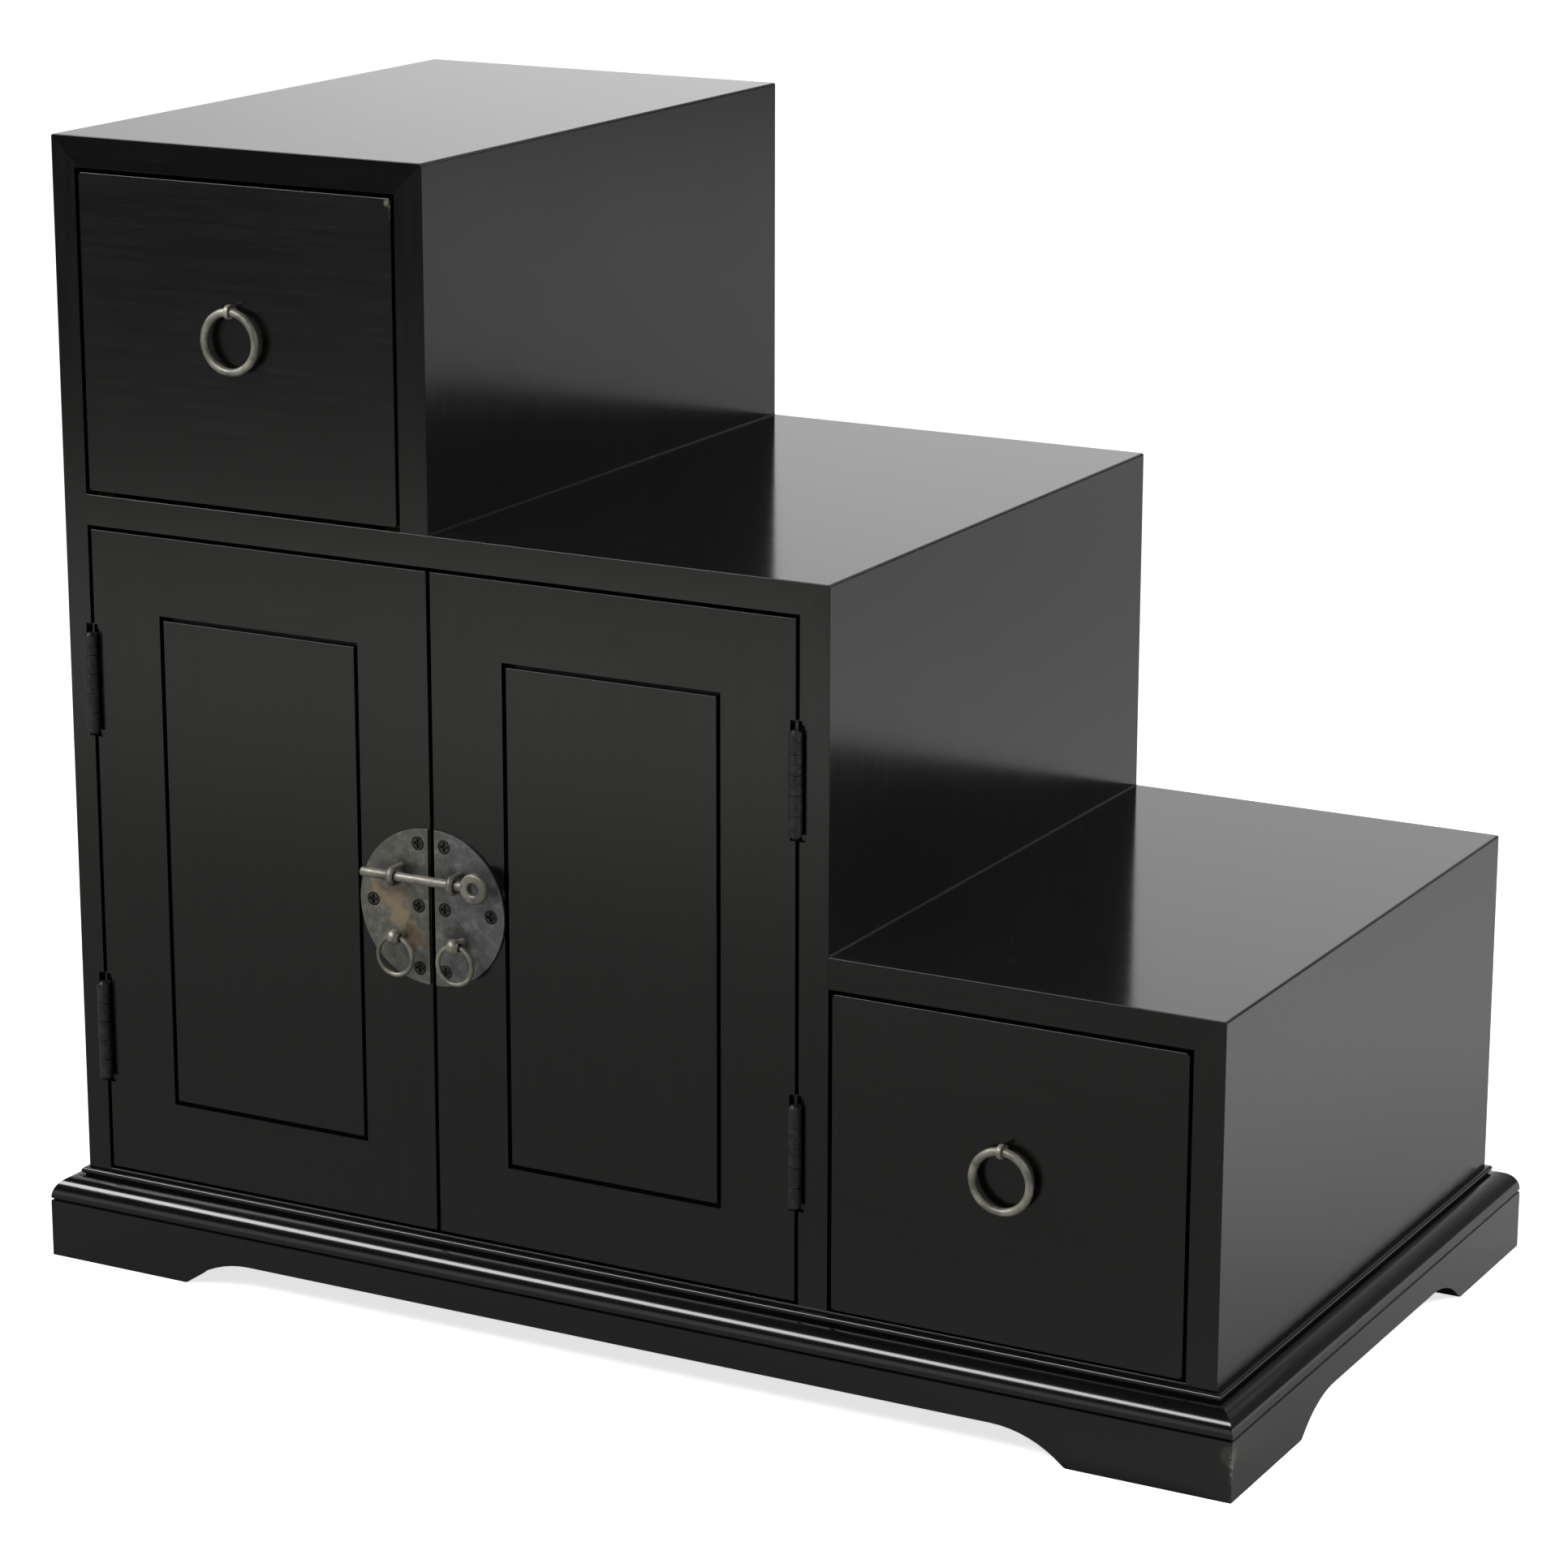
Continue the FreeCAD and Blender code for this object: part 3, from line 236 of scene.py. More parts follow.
class Finish:
    """A material built from nodes that follow the piece's own coordinates."""

    def __init__(self, name):
        self.material = bpy.data.materials.new(name)
        self.material.use_nodes = True
        self.nodes = self.material.node_tree.nodes
        self.links = self.material.node_tree.links
        self.shader = self.nodes["Principled BSDF"]
        self.place = self.add("TexCoord").outputs["Object"]

    def add(self, kind, values=None, **settings):
        node = self.nodes.new("ShaderNode" + kind)
        for key, value in settings.items():
            setattr(node, key, value)
        for key, value in (values or {}).items():
            self.put(node.inputs[key], value)
        return node

    def put(self, socket, value):
        if isinstance(value, bpy.types.NodeSocket):
            self.links.new(value, socket)
        elif socket.type == "RGBA" and len(value) < len(socket.default_value):
            socket.default_value = (*value, 1)
        else:
            socket.default_value = value

    def give(self, **values):
        """Sets or links the shader's own sockets."""
        for key, value in values.items():
            self.put(self.shader.inputs[key.replace("_", " ")], value)

    def math(self, operation, first, second=0.0):
        return self.add("Math", {0: first, 1: second}, operation=operation).outputs["Value"]

    def both(self, first, second):
        return self.math("MULTIPLY", first, second)

    def either(self, first, second):
        return self.math("MAXIMUM", first, second)

    def stretch(self, scale, shift=(0, 0, 0)):
        values = {"Vector": self.place, "Scale": scale, "Location": shift}
        return self.add("Mapping", values).outputs["Vector"]

    def noise(self, vector, size, detail=2.0, roughness=0.5, distortion=0.0):
        """Noise whose blots are about the given size, in metres."""
        values = {"Vector": vector, "Scale": 1 / size, "Detail": detail,
                  "Roughness": roughness, "Distortion": distortion}
        return self.add("TexNoise", values).outputs["Fac"]

    def band(self, value, low, high, start=0.0, end=1.0):
        values = {"Value": value, "From Min": low, "From Max": high, "To Min": start, "To Max": end}
        return self.add("MapRange", values, interpolation_type="SMOOTHSTEP").outputs["Result"]

    def blend(self, share_of, first, second):
        node = self.add("Mix", data_type="RGBA")
        for socket, value in ((node.inputs[0], share_of), (node.inputs[6], first), (node.inputs[7], second)):
            self.put(socket, value)
        return node.outputs[2]

    def near(self, spot, reach, place=None):
        """1 at a spot, falling to 0 at its reach."""
        away = self.add("VectorMath", {0: place or self.place, 1: spot}, operation="DISTANCE")
        return self.band(away.outputs["Value"], 0.0, reach, 1.0, 0.0)

    def rounded(self, radius):
        return self.add("Bevel", {"Radius": radius}, samples=4).outputs["Normal"]

    def edges(self, radius, start=0.995, full=0.85):
        """1 along the piece's outer and inner edges."""
        flat = self.add("NewGeometry").outputs["Normal"]
        turned = self.add("VectorMath", {0: self.rounded(radius), 1: flat}, operation="DOT_PRODUCT")
        return self.band(turned.outputs["Value"], full, start, 1.0, 0.0)

    def bump(self, height, distance, normal=None):
        values = {"Height": height, "Distance": distance, "Strength": 1.0}
        if normal is not None:
            values["Normal"] = normal
        return self.add("Bump", values).outputs["Normal"]


def lacquer(name, grain, gloss, specks=0.0, rubbed_spots=()):
    """Black lacquer over open-pored wood, with the grain along one axis.

    A rubbed spot is its place, its reach and its strength, and at strength 1 it keeps to the edges.
    """
    look = bpy.context.scene.tansu_lacquer
    f = Finish(name)
    scale = [1.0, 1.0, 1.0]
    scale["xyz".index(grain)] = look.grain_stretch
    along = f.stretch(scale)
    pores = f.band(f.noise(along, look.pore_width, 2.0, 0.6), 0.57, 0.70)
    patches = f.band(f.noise(along, 9 * MM, 2.0), 0.42, 0.62)
    pores = f.both(pores, patches)
    streaks = f.noise(along, 3.5 * MM, 4.0, 0.6)
    clouds = f.noise(f.place, 90 * MM, 3.0)
    paint = f.blend(f.band(streaks, 0.35, 0.75), look.black, [c * 1.6 for c in look.black])
    rough = f.band(streaks, 0.3, 0.7, gloss * 0.94, gloss * 1.08)
    rough = f.math("ADD", rough, f.band(clouds, 0.3, 0.7, 0.0, gloss * 0.1))
    rough = f.math("ADD", rough, f.both(pores, 0.035))
    if rubbed_spots:
        edges = f.edges(look.rub_width)
        chips = f.band(f.noise(f.place, 2.5 * MM, 4.0, 0.7), 0.30, 0.62)
        worn = 0.0
        for spot, reach, most in rubbed_spots:
            rubbed = f.both(f.both(f.near(spot, reach), chips), most)
            worn = f.either(rubbed if most < 1 else f.both(rubbed, edges), worn)
        paint = f.blend(worn, paint, look.rubbed)
        rough = f.math("ADD", rough, f.both(worn, 0.3))
    if specks:
        dust = f.band(f.noise(f.place, 1.1 * MM, 1.0), 0.735, 0.77)
        dust = f.both(dust, f.band(f.noise(f.place, 25 * MM, 2.0), 0.45, 0.6))
        upward = f.add("SeparateXYZ", {0: f.add("NewGeometry").outputs["Normal"]}).outputs["Z"]
        dust = f.both(f.both(dust, specks), f.band(upward, 0.6, 0.95))
        paint = f.blend(dust, paint, look.dust)
        rough = f.math("ADD", rough, f.both(dust, 0.4))
    slow = f.stretch([0.35 if c == grain else 1.0 for c in "xyz"])
    waves = f.bump(f.noise(slow, 45 * MM, 2.0), look.wave_height)
    sunk = f.bump(f.math("SUBTRACT", 1.0, pores), look.pore_depth, waves)
    f.give(Base_Color=paint, Roughness=rough, Normal=sunk, IOR=1.5, Specular_IOR_Level=0.5)
    return f.material


def bare_wood(name, grain):
    """Plain planed wood with growth rings along one axis."""
    look = bpy.context.scene.tansu_wood
    f = Finish(name)
    scale = [1.0, 1.0, 1.0]
    scale["xyz".index(grain)] = 0.07
    along = f.stretch(scale)
    figure = f.noise(along, look.ring_width * 3, 3.0, 0.55, 0.6)
    rings = f.math("SINE", f.both(figure, 55.0))
    fibres = f.noise(along, 0.7 * MM, 3.0, 0.7)
    shade = f.band(f.math("ADD", f.both(rings, 0.3), fibres), 0.2, 0.95)
    f.give(Base_Color=f.blend(shade, look.pale, look.dark),
           Roughness=f.band(fibres, 0.3, 0.7, 0.55, 0.72),
           Normal=f.bump(fibres, 0.05 * MM, f.rounded(0.5 * MM)))
    return f.material


def black_iron(name, tint, dark_edges=False):
    """Blackened iron whose edges are worn pale, or else darkened along its edges and in its recesses."""
    f = Finish(name)
    mottle = f.noise(f.place, 2.2 * MM, 4.0, 0.65)
    base = f.blend(f.band(mottle, 0.35, 0.7), tint, [c * 1.9 for c in tint])
    if dark_edges:
        # Darker along every edge and in the recesses.
        edge, edge_tint = f.edges(0.8 * MM, 0.999, 0.95), [c * 0.1 for c in tint]
    else:
        rubbed = f.band(f.noise(f.place, 5 * MM, 3.0), 0.4, 0.65)
        edge, edge_tint = f.both(f.edges(0.45 * MM, 0.99, 0.7), rubbed), [c * 3.2 for c in tint]
    f.give(Base_Color=f.blend(edge, base, edge_tint), Metallic=0.75,
           Roughness=f.band(mottle, 0.3, 0.7, 0.36, 0.55),
           Normal=f.bump(mottle, 0.06 * MM, f.rounded(0.35 * MM)))
    return f.material


def forged(name, scale=1.0, shade=1.0):
    """Bronze with patches of dark tarnish, its dents and its shade scaled."""
    look = bpy.context.scene.tansu_metal
    f = Finish(name)
    dents = f.noise(f.place, 2.6 * MM * scale, 3.0, 0.6)
    tarnish = f.band(f.noise(f.place, 4.5 * MM * scale, 4.0, 0.65), 0.50, 0.75, 0.0, 0.6)
    tone = f.band(f.noise(f.place, 11 * MM, 2.0), 0.35, 0.65)
    metal = f.blend(tone, [c * shade for c in look.bronze], [c * shade for c in look.pewter])
    f.give(Base_Color=f.blend(tarnish, metal, look.tarnish), Metallic=0.6,
           Roughness=f.band(dents, 0.3, 0.7, 0.40, 0.56),
           Normal=f.bump(dents, 0.10 * MM))
    return f.material


def lock_plate(name):
    """Pewter plate, rusty on its left half and bluish on its right."""
    look = bpy.context.scene.tansu_metal
    f = Finish(name)
    middle = (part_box("left_lock_plate")[1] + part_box("right_lock_plate")[0]) / 2
    middle.z = span("left_lock_plate")[0].z
    mottle = f.noise(f.place, 5 * MM, 5.0, 0.68, 0.4)
    fine = f.noise(f.place, 0.9 * MM, 3.0, 0.7)
    side = f.add("SeparateXYZ", {0: f.place}).outputs["X"]
    right = f.band(side, middle.x - 4 * MM, middle.x + 14 * MM)
    bloom = f.band(f.noise(f.stretch((1, 1, 1), (0.3, 0, 0)), 8 * MM, 3.0, 0.6), 0.48, 0.66, 0.0, 0.75)
    metal = f.blend(f.either(right, bloom), look.pewter, look.blued)
    metal = f.blend(f.band(mottle, 0.35, 0.68, 0.0, 0.65), metal, [c * 0.5 for c in look.pewter])
    metal = f.blend(f.band(mottle, 0.30, 0.45, 0.5, 0.0), metal, [c * 1.6 for c in look.pewter])
    sway = 14 * MM
    torn = f.add("TexNoise", {"Vector": f.place, "Scale": 1 / (6 * MM), "Detail": 4.0}).outputs["Color"]
    torn = f.add("VectorMath", {0: torn, 1: (sway,) * 3, 2: f.place}, operation="MULTIPLY_ADD")

    def stains(spots):
        """Ragged spots. The noise moves the places by half its sway, so the spots move with them."""
        whole = 0.0
        for right_of, above, reach, most in spots:
            spot = middle + Vector((right_of, 0, above)) * MM + Vector((sway, sway, sway)) / 2
            whole = f.either(f.both(f.near(spot, reach * MM, torn.outputs["Vector"]), most), whole)
        return f.band(whole, 0.1, 0.75)

    rust, burnt, shade_and_soot = (stains(spots) for spots in (PLATE_RUST, PLATE_BURNS, PLATE_SHADE_AND_SOOT))
    worn = f.edges(0.4 * MM, 0.99, 0.75)
    metal = f.blend(f.both(rust, 0.85), metal, look.rust)
    metal = f.blend(f.both(burnt, 0.8), metal, [c * 0.4 for c in look.rust])
    # Painted shade, partly soot, darkens the plate beside the staples in the tarnish colour.
    metal = f.blend(f.both(shade_and_soot, 0.7), metal, look.tarnish)
    f.give(Base_Color=f.blend(f.both(worn, 0.5), metal, [c * 1.5 for c in look.pewter]),
           Metallic=f.band(rust, 0.0, 1.0, 0.8, 0.35),
           Roughness=f.band(mottle, 0.3, 0.7, 0.38, 0.56),
           Normal=f.bump(f.math("ADD", mottle, f.both(fine, 0.25)), 0.10 * MM, f.rounded(0.3 * MM)))
    return f.material


def dress(material, *nodes):
    """Puts one finish on parts of the chest that keep their shape."""
    for node in nodes:
        slots = CAD_NODES[node].data.materials
        slots.clear()
        slots.append(material)


def clear_selection():
    if bpy.context.object and bpy.context.object.mode != "OBJECT":
        bpy.ops.object.mode_set(mode="OBJECT")
    bpy.ops.object.select_all(action="DESELECT")


ALONG = {"x": (0, math.pi / 2, 0), "y": (math.pi / 2, 0, 0), "z": (0, 0, 0)}


def disc(radius, centre, axis, sides, squeeze=(1, 1, 1)):
    """A filled ring of points that faces along an axis, ready to be drawn out in edit mode."""
    clear_selection()
    bpy.ops.mesh.primitive_circle_add(
        vertices=sides, radius=radius, fill_type="NGON", location=centre, rotation=ALONG[axis])
    bpy.ops.object.transform_apply(location=True, rotation=True, scale=True)
    bpy.ops.object.mode_set(mode="EDIT")
    bpy.ops.mesh.select_all(action="SELECT")
    if squeeze != (1, 1, 1):
        bpy.ops.transform.resize(value=squeeze, center_override=centre)
    return bpy.context.object


def draw_out(step, grow=1.0, centre=None):
    bpy.ops.mesh.extrude_region_move(TRANSFORM_OT_translate={"value": step})
    if grow != 1.0:
        bpy.ops.transform.resize(value=(grow, grow, grow), center_override=centre)


def bend(degrees, centre, axis, steps):
    """Carries the drawn outline round an axis by the right-hand rule, against which the spin turns."""
    bpy.ops.mesh.spin(steps=steps, angle=-math.radians(degrees), center=centre, axis=axis)


def turned(name, start, way, profile, sides=32):
    """A lathe-turned piece, from its distances along an axis and the radii there."""
    way = Vector(way)
    axis = "xyz"[max(range(3), key=lambda i: abs(way[i]))]
    here, radius = profile[0]
    made = disc(radius, start + way * here, axis, sides)
    for distance, wider in profile[1:]:
        draw_out(way * (distance - here), wider / radius, start + way * distance)
        here, radius = distance, wider
    return close_up(made, name)


def close_up(made, name):
    """Welds a piece shut and turns its faces outwards."""
    bpy.ops.mesh.select_all(action="SELECT")
    bpy.ops.mesh.remove_doubles(threshold=WELD)
    bpy.ops.mesh.normals_make_consistent(inside=False)
    bpy.ops.object.mode_set(mode="OBJECT")
    made.name = name
    made.data.name = name
    return made


def choose(made):
    clear_selection()
    made.select_set(True)
    bpy.context.view_layer.objects.active = made


def shape(made, kind, **settings):
    """Adds a modifier and applies it."""
    modifier = made.modifiers.new(kind.title(), kind)
    for key, value in settings.items():
        setattr(modifier, key, value)
    choose(made)
    bpy.ops.object.modifier_apply(modifier=modifier.name)


def hammer(made, depth, size):
    """Leaves the slight unevenness of forging in the surface."""
    dents = bpy.data.textures.new(made.name + "_dents", "CLOUDS")
    dents.noise_scale = size
    shape(made, "DISPLACE", texture=dents, strength=depth, mid_level=0.5, texture_coords="LOCAL")


def smooth(made, degrees=40):
    choose(made)
    bpy.ops.object.shade_smooth_by_angle(angle=math.radians(degrees))


def hand_over(made, body, slot, material, *replaced):
    made.data.materials.clear()
    made.data.materials.append(material)
    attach(made, body)
    if replaced:
        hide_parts(*replaced)


def again(made, name, shift):
    """A copy with a mesh of its own, moved to its place."""
    copy = made.copy()
    copy.data = made.data.copy()
    copy.name = name
    copy.data.name = name
    copy.data.transform(Matrix.Translation(shift))
    bpy.context.scene.collection.objects.link(copy)
    return copy


class TansuOperator(bpy.types.Operator):
    """Shared settings of the chest's operators."""

    bl_options = {"REGISTER", "UNDO"}

    def execute(self, context):
        self.make(context.scene)
        return {"FINISHED"}


class TANSU_OT_case(TansuOperator):
    """Lacquer the boards, treads and back panels of the case"""

    bl_idname = "tansu.case"
    bl_label = "Case"

    def make(self, scene):
        look = scene.tansu_lacquer
        dress(lacquer("lacquer_sides", "z", look.side_gloss),
              "left_side", "upper_side", "middle_side", "lower_side")
        dress(lacquer("lacquer_treads", "x", look.tread_gloss, 0.2),
              "top_board", "middle_tread", "lower_tread")
        dress(lacquer("lacquer_bottom", "x", look.front_gloss), "bottom_board")
        dress(lacquer("lacquer_backs", "z", look.front_gloss), "upper_back", "middle_back", "lower_back")


class TANSU_OT_joint_beads(TansuOperator):
    """Run a thin lacquer bead along each joint of a riser and a tread"""

    bl_idname = "tansu.joint_beads"
    bl_label = "Joint beads"

    def make(self, scene):
        look, size = scene.tansu_lacquer, scene.tansu_fittings.bead
        finish = lacquer("lacquer_bead", "y", look.tread_gloss, 1.0)
        beads = (
            ("middle_joint_bead", "upper_side", "middle_tread"),
            ("lower_joint_bead", "middle_side", "lower_tread"),
        )
        for name, riser, tread in beads:
            low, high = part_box(riser)
            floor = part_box(tread)[1].z
            run = high.y - low.y
            corner = Vector((high.x, (low.y + high.y) / 2, floor))
            clear_selection()
            bpy.ops.mesh.primitive_cube_add(size=1, location=corner + Vector((size / 2, 0, size / 2)))
            made = bpy.context.object
            made.scale = (size, run - 2 * size, size)
            bpy.ops.object.transform_apply(location=True, rotation=True, scale=True)
            bpy.ops.object.mode_set(mode="EDIT")
            bpy.ops.mesh.select_all(action="SELECT")
            bpy.ops.mesh.bisect(
                plane_co=corner + Vector((size, 0, 0)), plane_no=(1, 0, 1), clear_outer=True, use_fill=True)
            bpy.ops.mesh.select_all(action="SELECT")
            bpy.ops.mesh.subdivide(number_cuts=2)
            close_up(made, name)
            smooth(made, 30)
            hand_over(made, "case", "lacquer_tread", finish)


class TANSU_OT_fronts(TansuOperator):
    """Lacquer the doors and the drawer fronts"""

    bl_idname = "tansu.fronts"
    bl_label = "Doors and drawer fronts"

    def make(self, scene):
        gloss = scene.tansu_lacquer.front_gloss
        upright = lacquer("lacquer_door_upright", "z", gloss)
        level = lacquer("lacquer_door_level", "x", gloss)
        for hand in HANDS:
            dress(upright, *(f"{hand}_door_{part}" for part in ("hinge_stile", "lock_stile", "panel")))
            dress(level, f"{hand}_door_top_rail", f"{hand}_door_bottom_rail")
        low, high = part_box("upper_drawer_front")
        corner = Vector((high.x, low.y, high.z))
        rubbed = [
            (corner - Vector((1.9, 0, 2.2)) * MM, 2.3 * MM, 0.95),
            (corner - Vector((0, 0, 3)) * MM, 8 * MM, 1),
        ]
        dress(lacquer("lacquer_upper_drawer", "x", gloss, 0.0, rubbed), "upper_drawer_front")
        dress(lacquer("lacquer_lower_drawer", "x", gloss), "lower_drawer_front")


class TANSU_OT_plinth(TansuOperator):
    """Lacquer the moulded plinth"""

    bl_idname = "tansu.plinth"
    bl_label = "Plinth"

    def make(self, scene):
        gloss = scene.tansu_lacquer.plinth_gloss
        low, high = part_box("plinth_front")
        foot = [
            ((high.x, low.y, low.z + 22 * MM), 8 * MM, 0.4),
            ((high.x, low.y, low.z + 17 * MM), 11 * MM, 1),
        ]
        dress(lacquer("lacquer_plinth_long", "x", gloss, 0.0, foot), "plinth_front", "plinth_back")
        dress(lacquer("lacquer_plinth_short", "y", gloss, 0.0, foot), "plinth_left", "plinth_right")


class TANSU_OT_inner_wood(TansuOperator):
    """Leave the drawer boxes, stops and blocks in plain wood"""

    bl_idname = "tansu.inner_wood"
    bl_label = "Inner wood"

    def make(self, scene):
        long_grain, cross_grain, upright = (bare_wood("wood_" + axis, axis) for axis in "yxz")
        for level in LEVELS:
            dress(long_grain, f"{level}_drawer_left", f"{level}_drawer_right")
            dress(cross_grain, f"{level}_drawer_back", f"{level}_drawer_bottom")
        dress(cross_grain, "stops")
        dress(upright, "plinth_blocks")


class TANSU_OT_hinges(TansuOperator):
    """Blacken the hinges and their screws"""

    bl_idname = "tansu.hinges"
    bl_label = "Hinges"

    def make(self, scene):
        look = scene.tansu_metal
        dress(black_iron("hinge_iron", look.iron), "case_hinge_leaves", "hinge_pins",
              "left_door_hinge_leaves", "right_door_hinge_leaves")
        dress(black_iron("screw_iron", look.screw), "case_hinge_screws", "left_door_hinge_screws",
              "right_door_hinge_screws")
        dress(black_iron("plate_screw_iron", look.screw, dark_edges=True),
              "left_plate_screws", "right_plate_screws")


class TANSU_OT_lock_plates(TansuOperator):
    """Age the two halves of the lock plate"""

    bl_idname = "tansu.lock_plates"
    bl_label = "Lock plates"

    def make(self, scene):
        dress(lock_plate("plate_pewter"), "left_lock_plate", "right_lock_plate")


class TANSU_OT_pull_rings(TansuOperator):
    """Forge the two pull rings and the split eyes that they hang from"""

    bl_idname = "tansu.pull_rings"
    bl_label = "Pull rings"

    def make(self, scene):
        sizes, look = scene.tansu_fittings, scene.tansu_metal
        bronze = forged("ring_bronze")
        centre, half = span("upper_pull_ring")
        radius = half.x - half.y
        disc(sizes.pull_wire, centre + Vector((0, 0, radius)), "x", sizes.wire_sides)
        bpy.ops.mesh.delete(type="ONLY_FACE")
        bpy.ops.mesh.select_all(action="SELECT")
        bend(360, centre, (0, 1, 0), sizes.ring_steps)
        ring = close_up(bpy.context.object, "upper_pull_ring_forged")
        hammer(ring, look.hammer, 4 * MM)
        smooth(ring, 80)

        eye_low, eye_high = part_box("upper_pull_eye")
        hole = Vector((centre.x, eye_low.y, (eye_low.z + eye_high.z) / 2))
        loop = (eye_high.z - eye_low.z) / 2
        loop_middle = hole + Vector((0, loop, 0))
        reach = loop - EYE_INSET
        fold = math.degrees(math.asin(EYE_LEG / reach))
        back_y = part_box("upper_drawer_front")[1].y + EYE_END
        start = Vector((hole.x, back_y, hole.z + EYE_LEG))
        squeeze = (sizes.eye_width / sizes.eye_thickness, 1, 1)
        made = disc(sizes.eye_thickness, start, "y", sizes.wire_sides, squeeze)
        neck_y = loop_middle.y + reach * math.cos(math.radians(fold))
        draw_out((0, (neck_y - back_y) * 0.5, 0))
        draw_out((0, (neck_y - back_y) * 0.5, 0))
        bend(360 - 2 * fold, loop_middle, (1, 0, 0), 40)
        draw_out((0, (back_y - neck_y) * 0.5, 0))
        draw_out((0, (back_y - neck_y) * 0.5, 0))
        eye = close_up(made, "upper_pull_eye_split")
        smooth(eye, 50)
        drop = span("lower_pull_ring")[0] - centre
        for made, node, lower_name, body in (
            (ring, "pull_ring", "lower_pull_ring_forged", "pull"),
            (eye, "pull_eye", "lower_pull_eye_split", "drawer"),
        ):
            hand_over(made, "upper_" + body, "ring_bronze", bronze, "upper_" + node)
            hand_over(again(made, lower_name, drop), "lower_" + body, "ring_bronze", bronze, "lower_" + node)


class TANSU_OT_drop_rings(TansuOperator):
    """Turn the ball posts and hang the small rings in them"""

    bl_idname = "tansu.drop_rings"
    bl_label = "Drop rings"

    def make(self, scene):
        sizes, look = scene.tansu_fittings, scene.tansu_metal
        bronze = forged("drop_bronze", 0.8, 0.85)
        centre, half = span("left_drop_ring")
        radius = half.x - half.y
        disc(sizes.drop_wire, centre + Vector((0, 0, radius)), "x", sizes.wire_sides)
        bpy.ops.mesh.delete(type="ONLY_FACE")
        bpy.ops.mesh.select_all(action="SELECT")
        bend(360, centre, (0, 1, 0), sizes.ring_steps)
        ring = close_up(bpy.context.object, "left_drop_ring_forged")
        hammer(ring, look.hammer * 0.7, 3 * MM)
        smooth(ring, 80)

        low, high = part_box("left_ring_post")
        ball = (high.x - low.x) / 2
        middle = Vector(((low.x + high.x) / 2, low.y + ball, (low.z + high.z) / 2))
        profile = [(0.02 * MM, ball * 0.30)]
        for step in range(1, 15):
            turn = math.radians(172 - step * 10.5)
            profile.append((ball + ball * math.cos(turn), ball * math.sin(turn)))
        depth = high.y - low.y
        profile += [
            (ball * 2 + 1.0 * MM, 2.2 * MM), (depth - POST_COLLAR, 2.35 * MM),
            (depth - POST_SHANK, 1.75 * MM), (depth, 1.6 * MM),
        ]
        post = turned("left_ring_post_turned", Vector((middle.x, low.y, middle.z)), (0, 1, 0), profile)
        flare = turned("post_bore", middle - Vector((ball * 1.2, 0, 0)), (1, 0, 0), [
            (0, 2.8 * MM), (ball * 0.5, 1.9 * MM), (ball * 1.2, 1.62 * MM),
            (ball * 1.9, 1.9 * MM), (ball * 2.4, 2.8 * MM),
        ])
        shape(post, "BOOLEAN", object=flare, operation="DIFFERENCE", solver="EXACT")
        bpy.data.objects.remove(flare)
        smooth(post, 35)
        shift = span("right_ring_post")[0] - span("left_ring_post")[0]
        for made, node, right_name, bodies in (
            (ring, "drop_ring", "right_drop_ring_forged", ("left_ring", "right_ring")),
            (post, "ring_post", "right_ring_post_turned", ("left_door", "right_door")),
        ):
            hand_over(made, bodies[0], "ring_bronze", bronze, "left_" + node)
            hand_over(again(made, right_name, shift), bodies[1], "ring_bronze", bronze, "right_" + node)


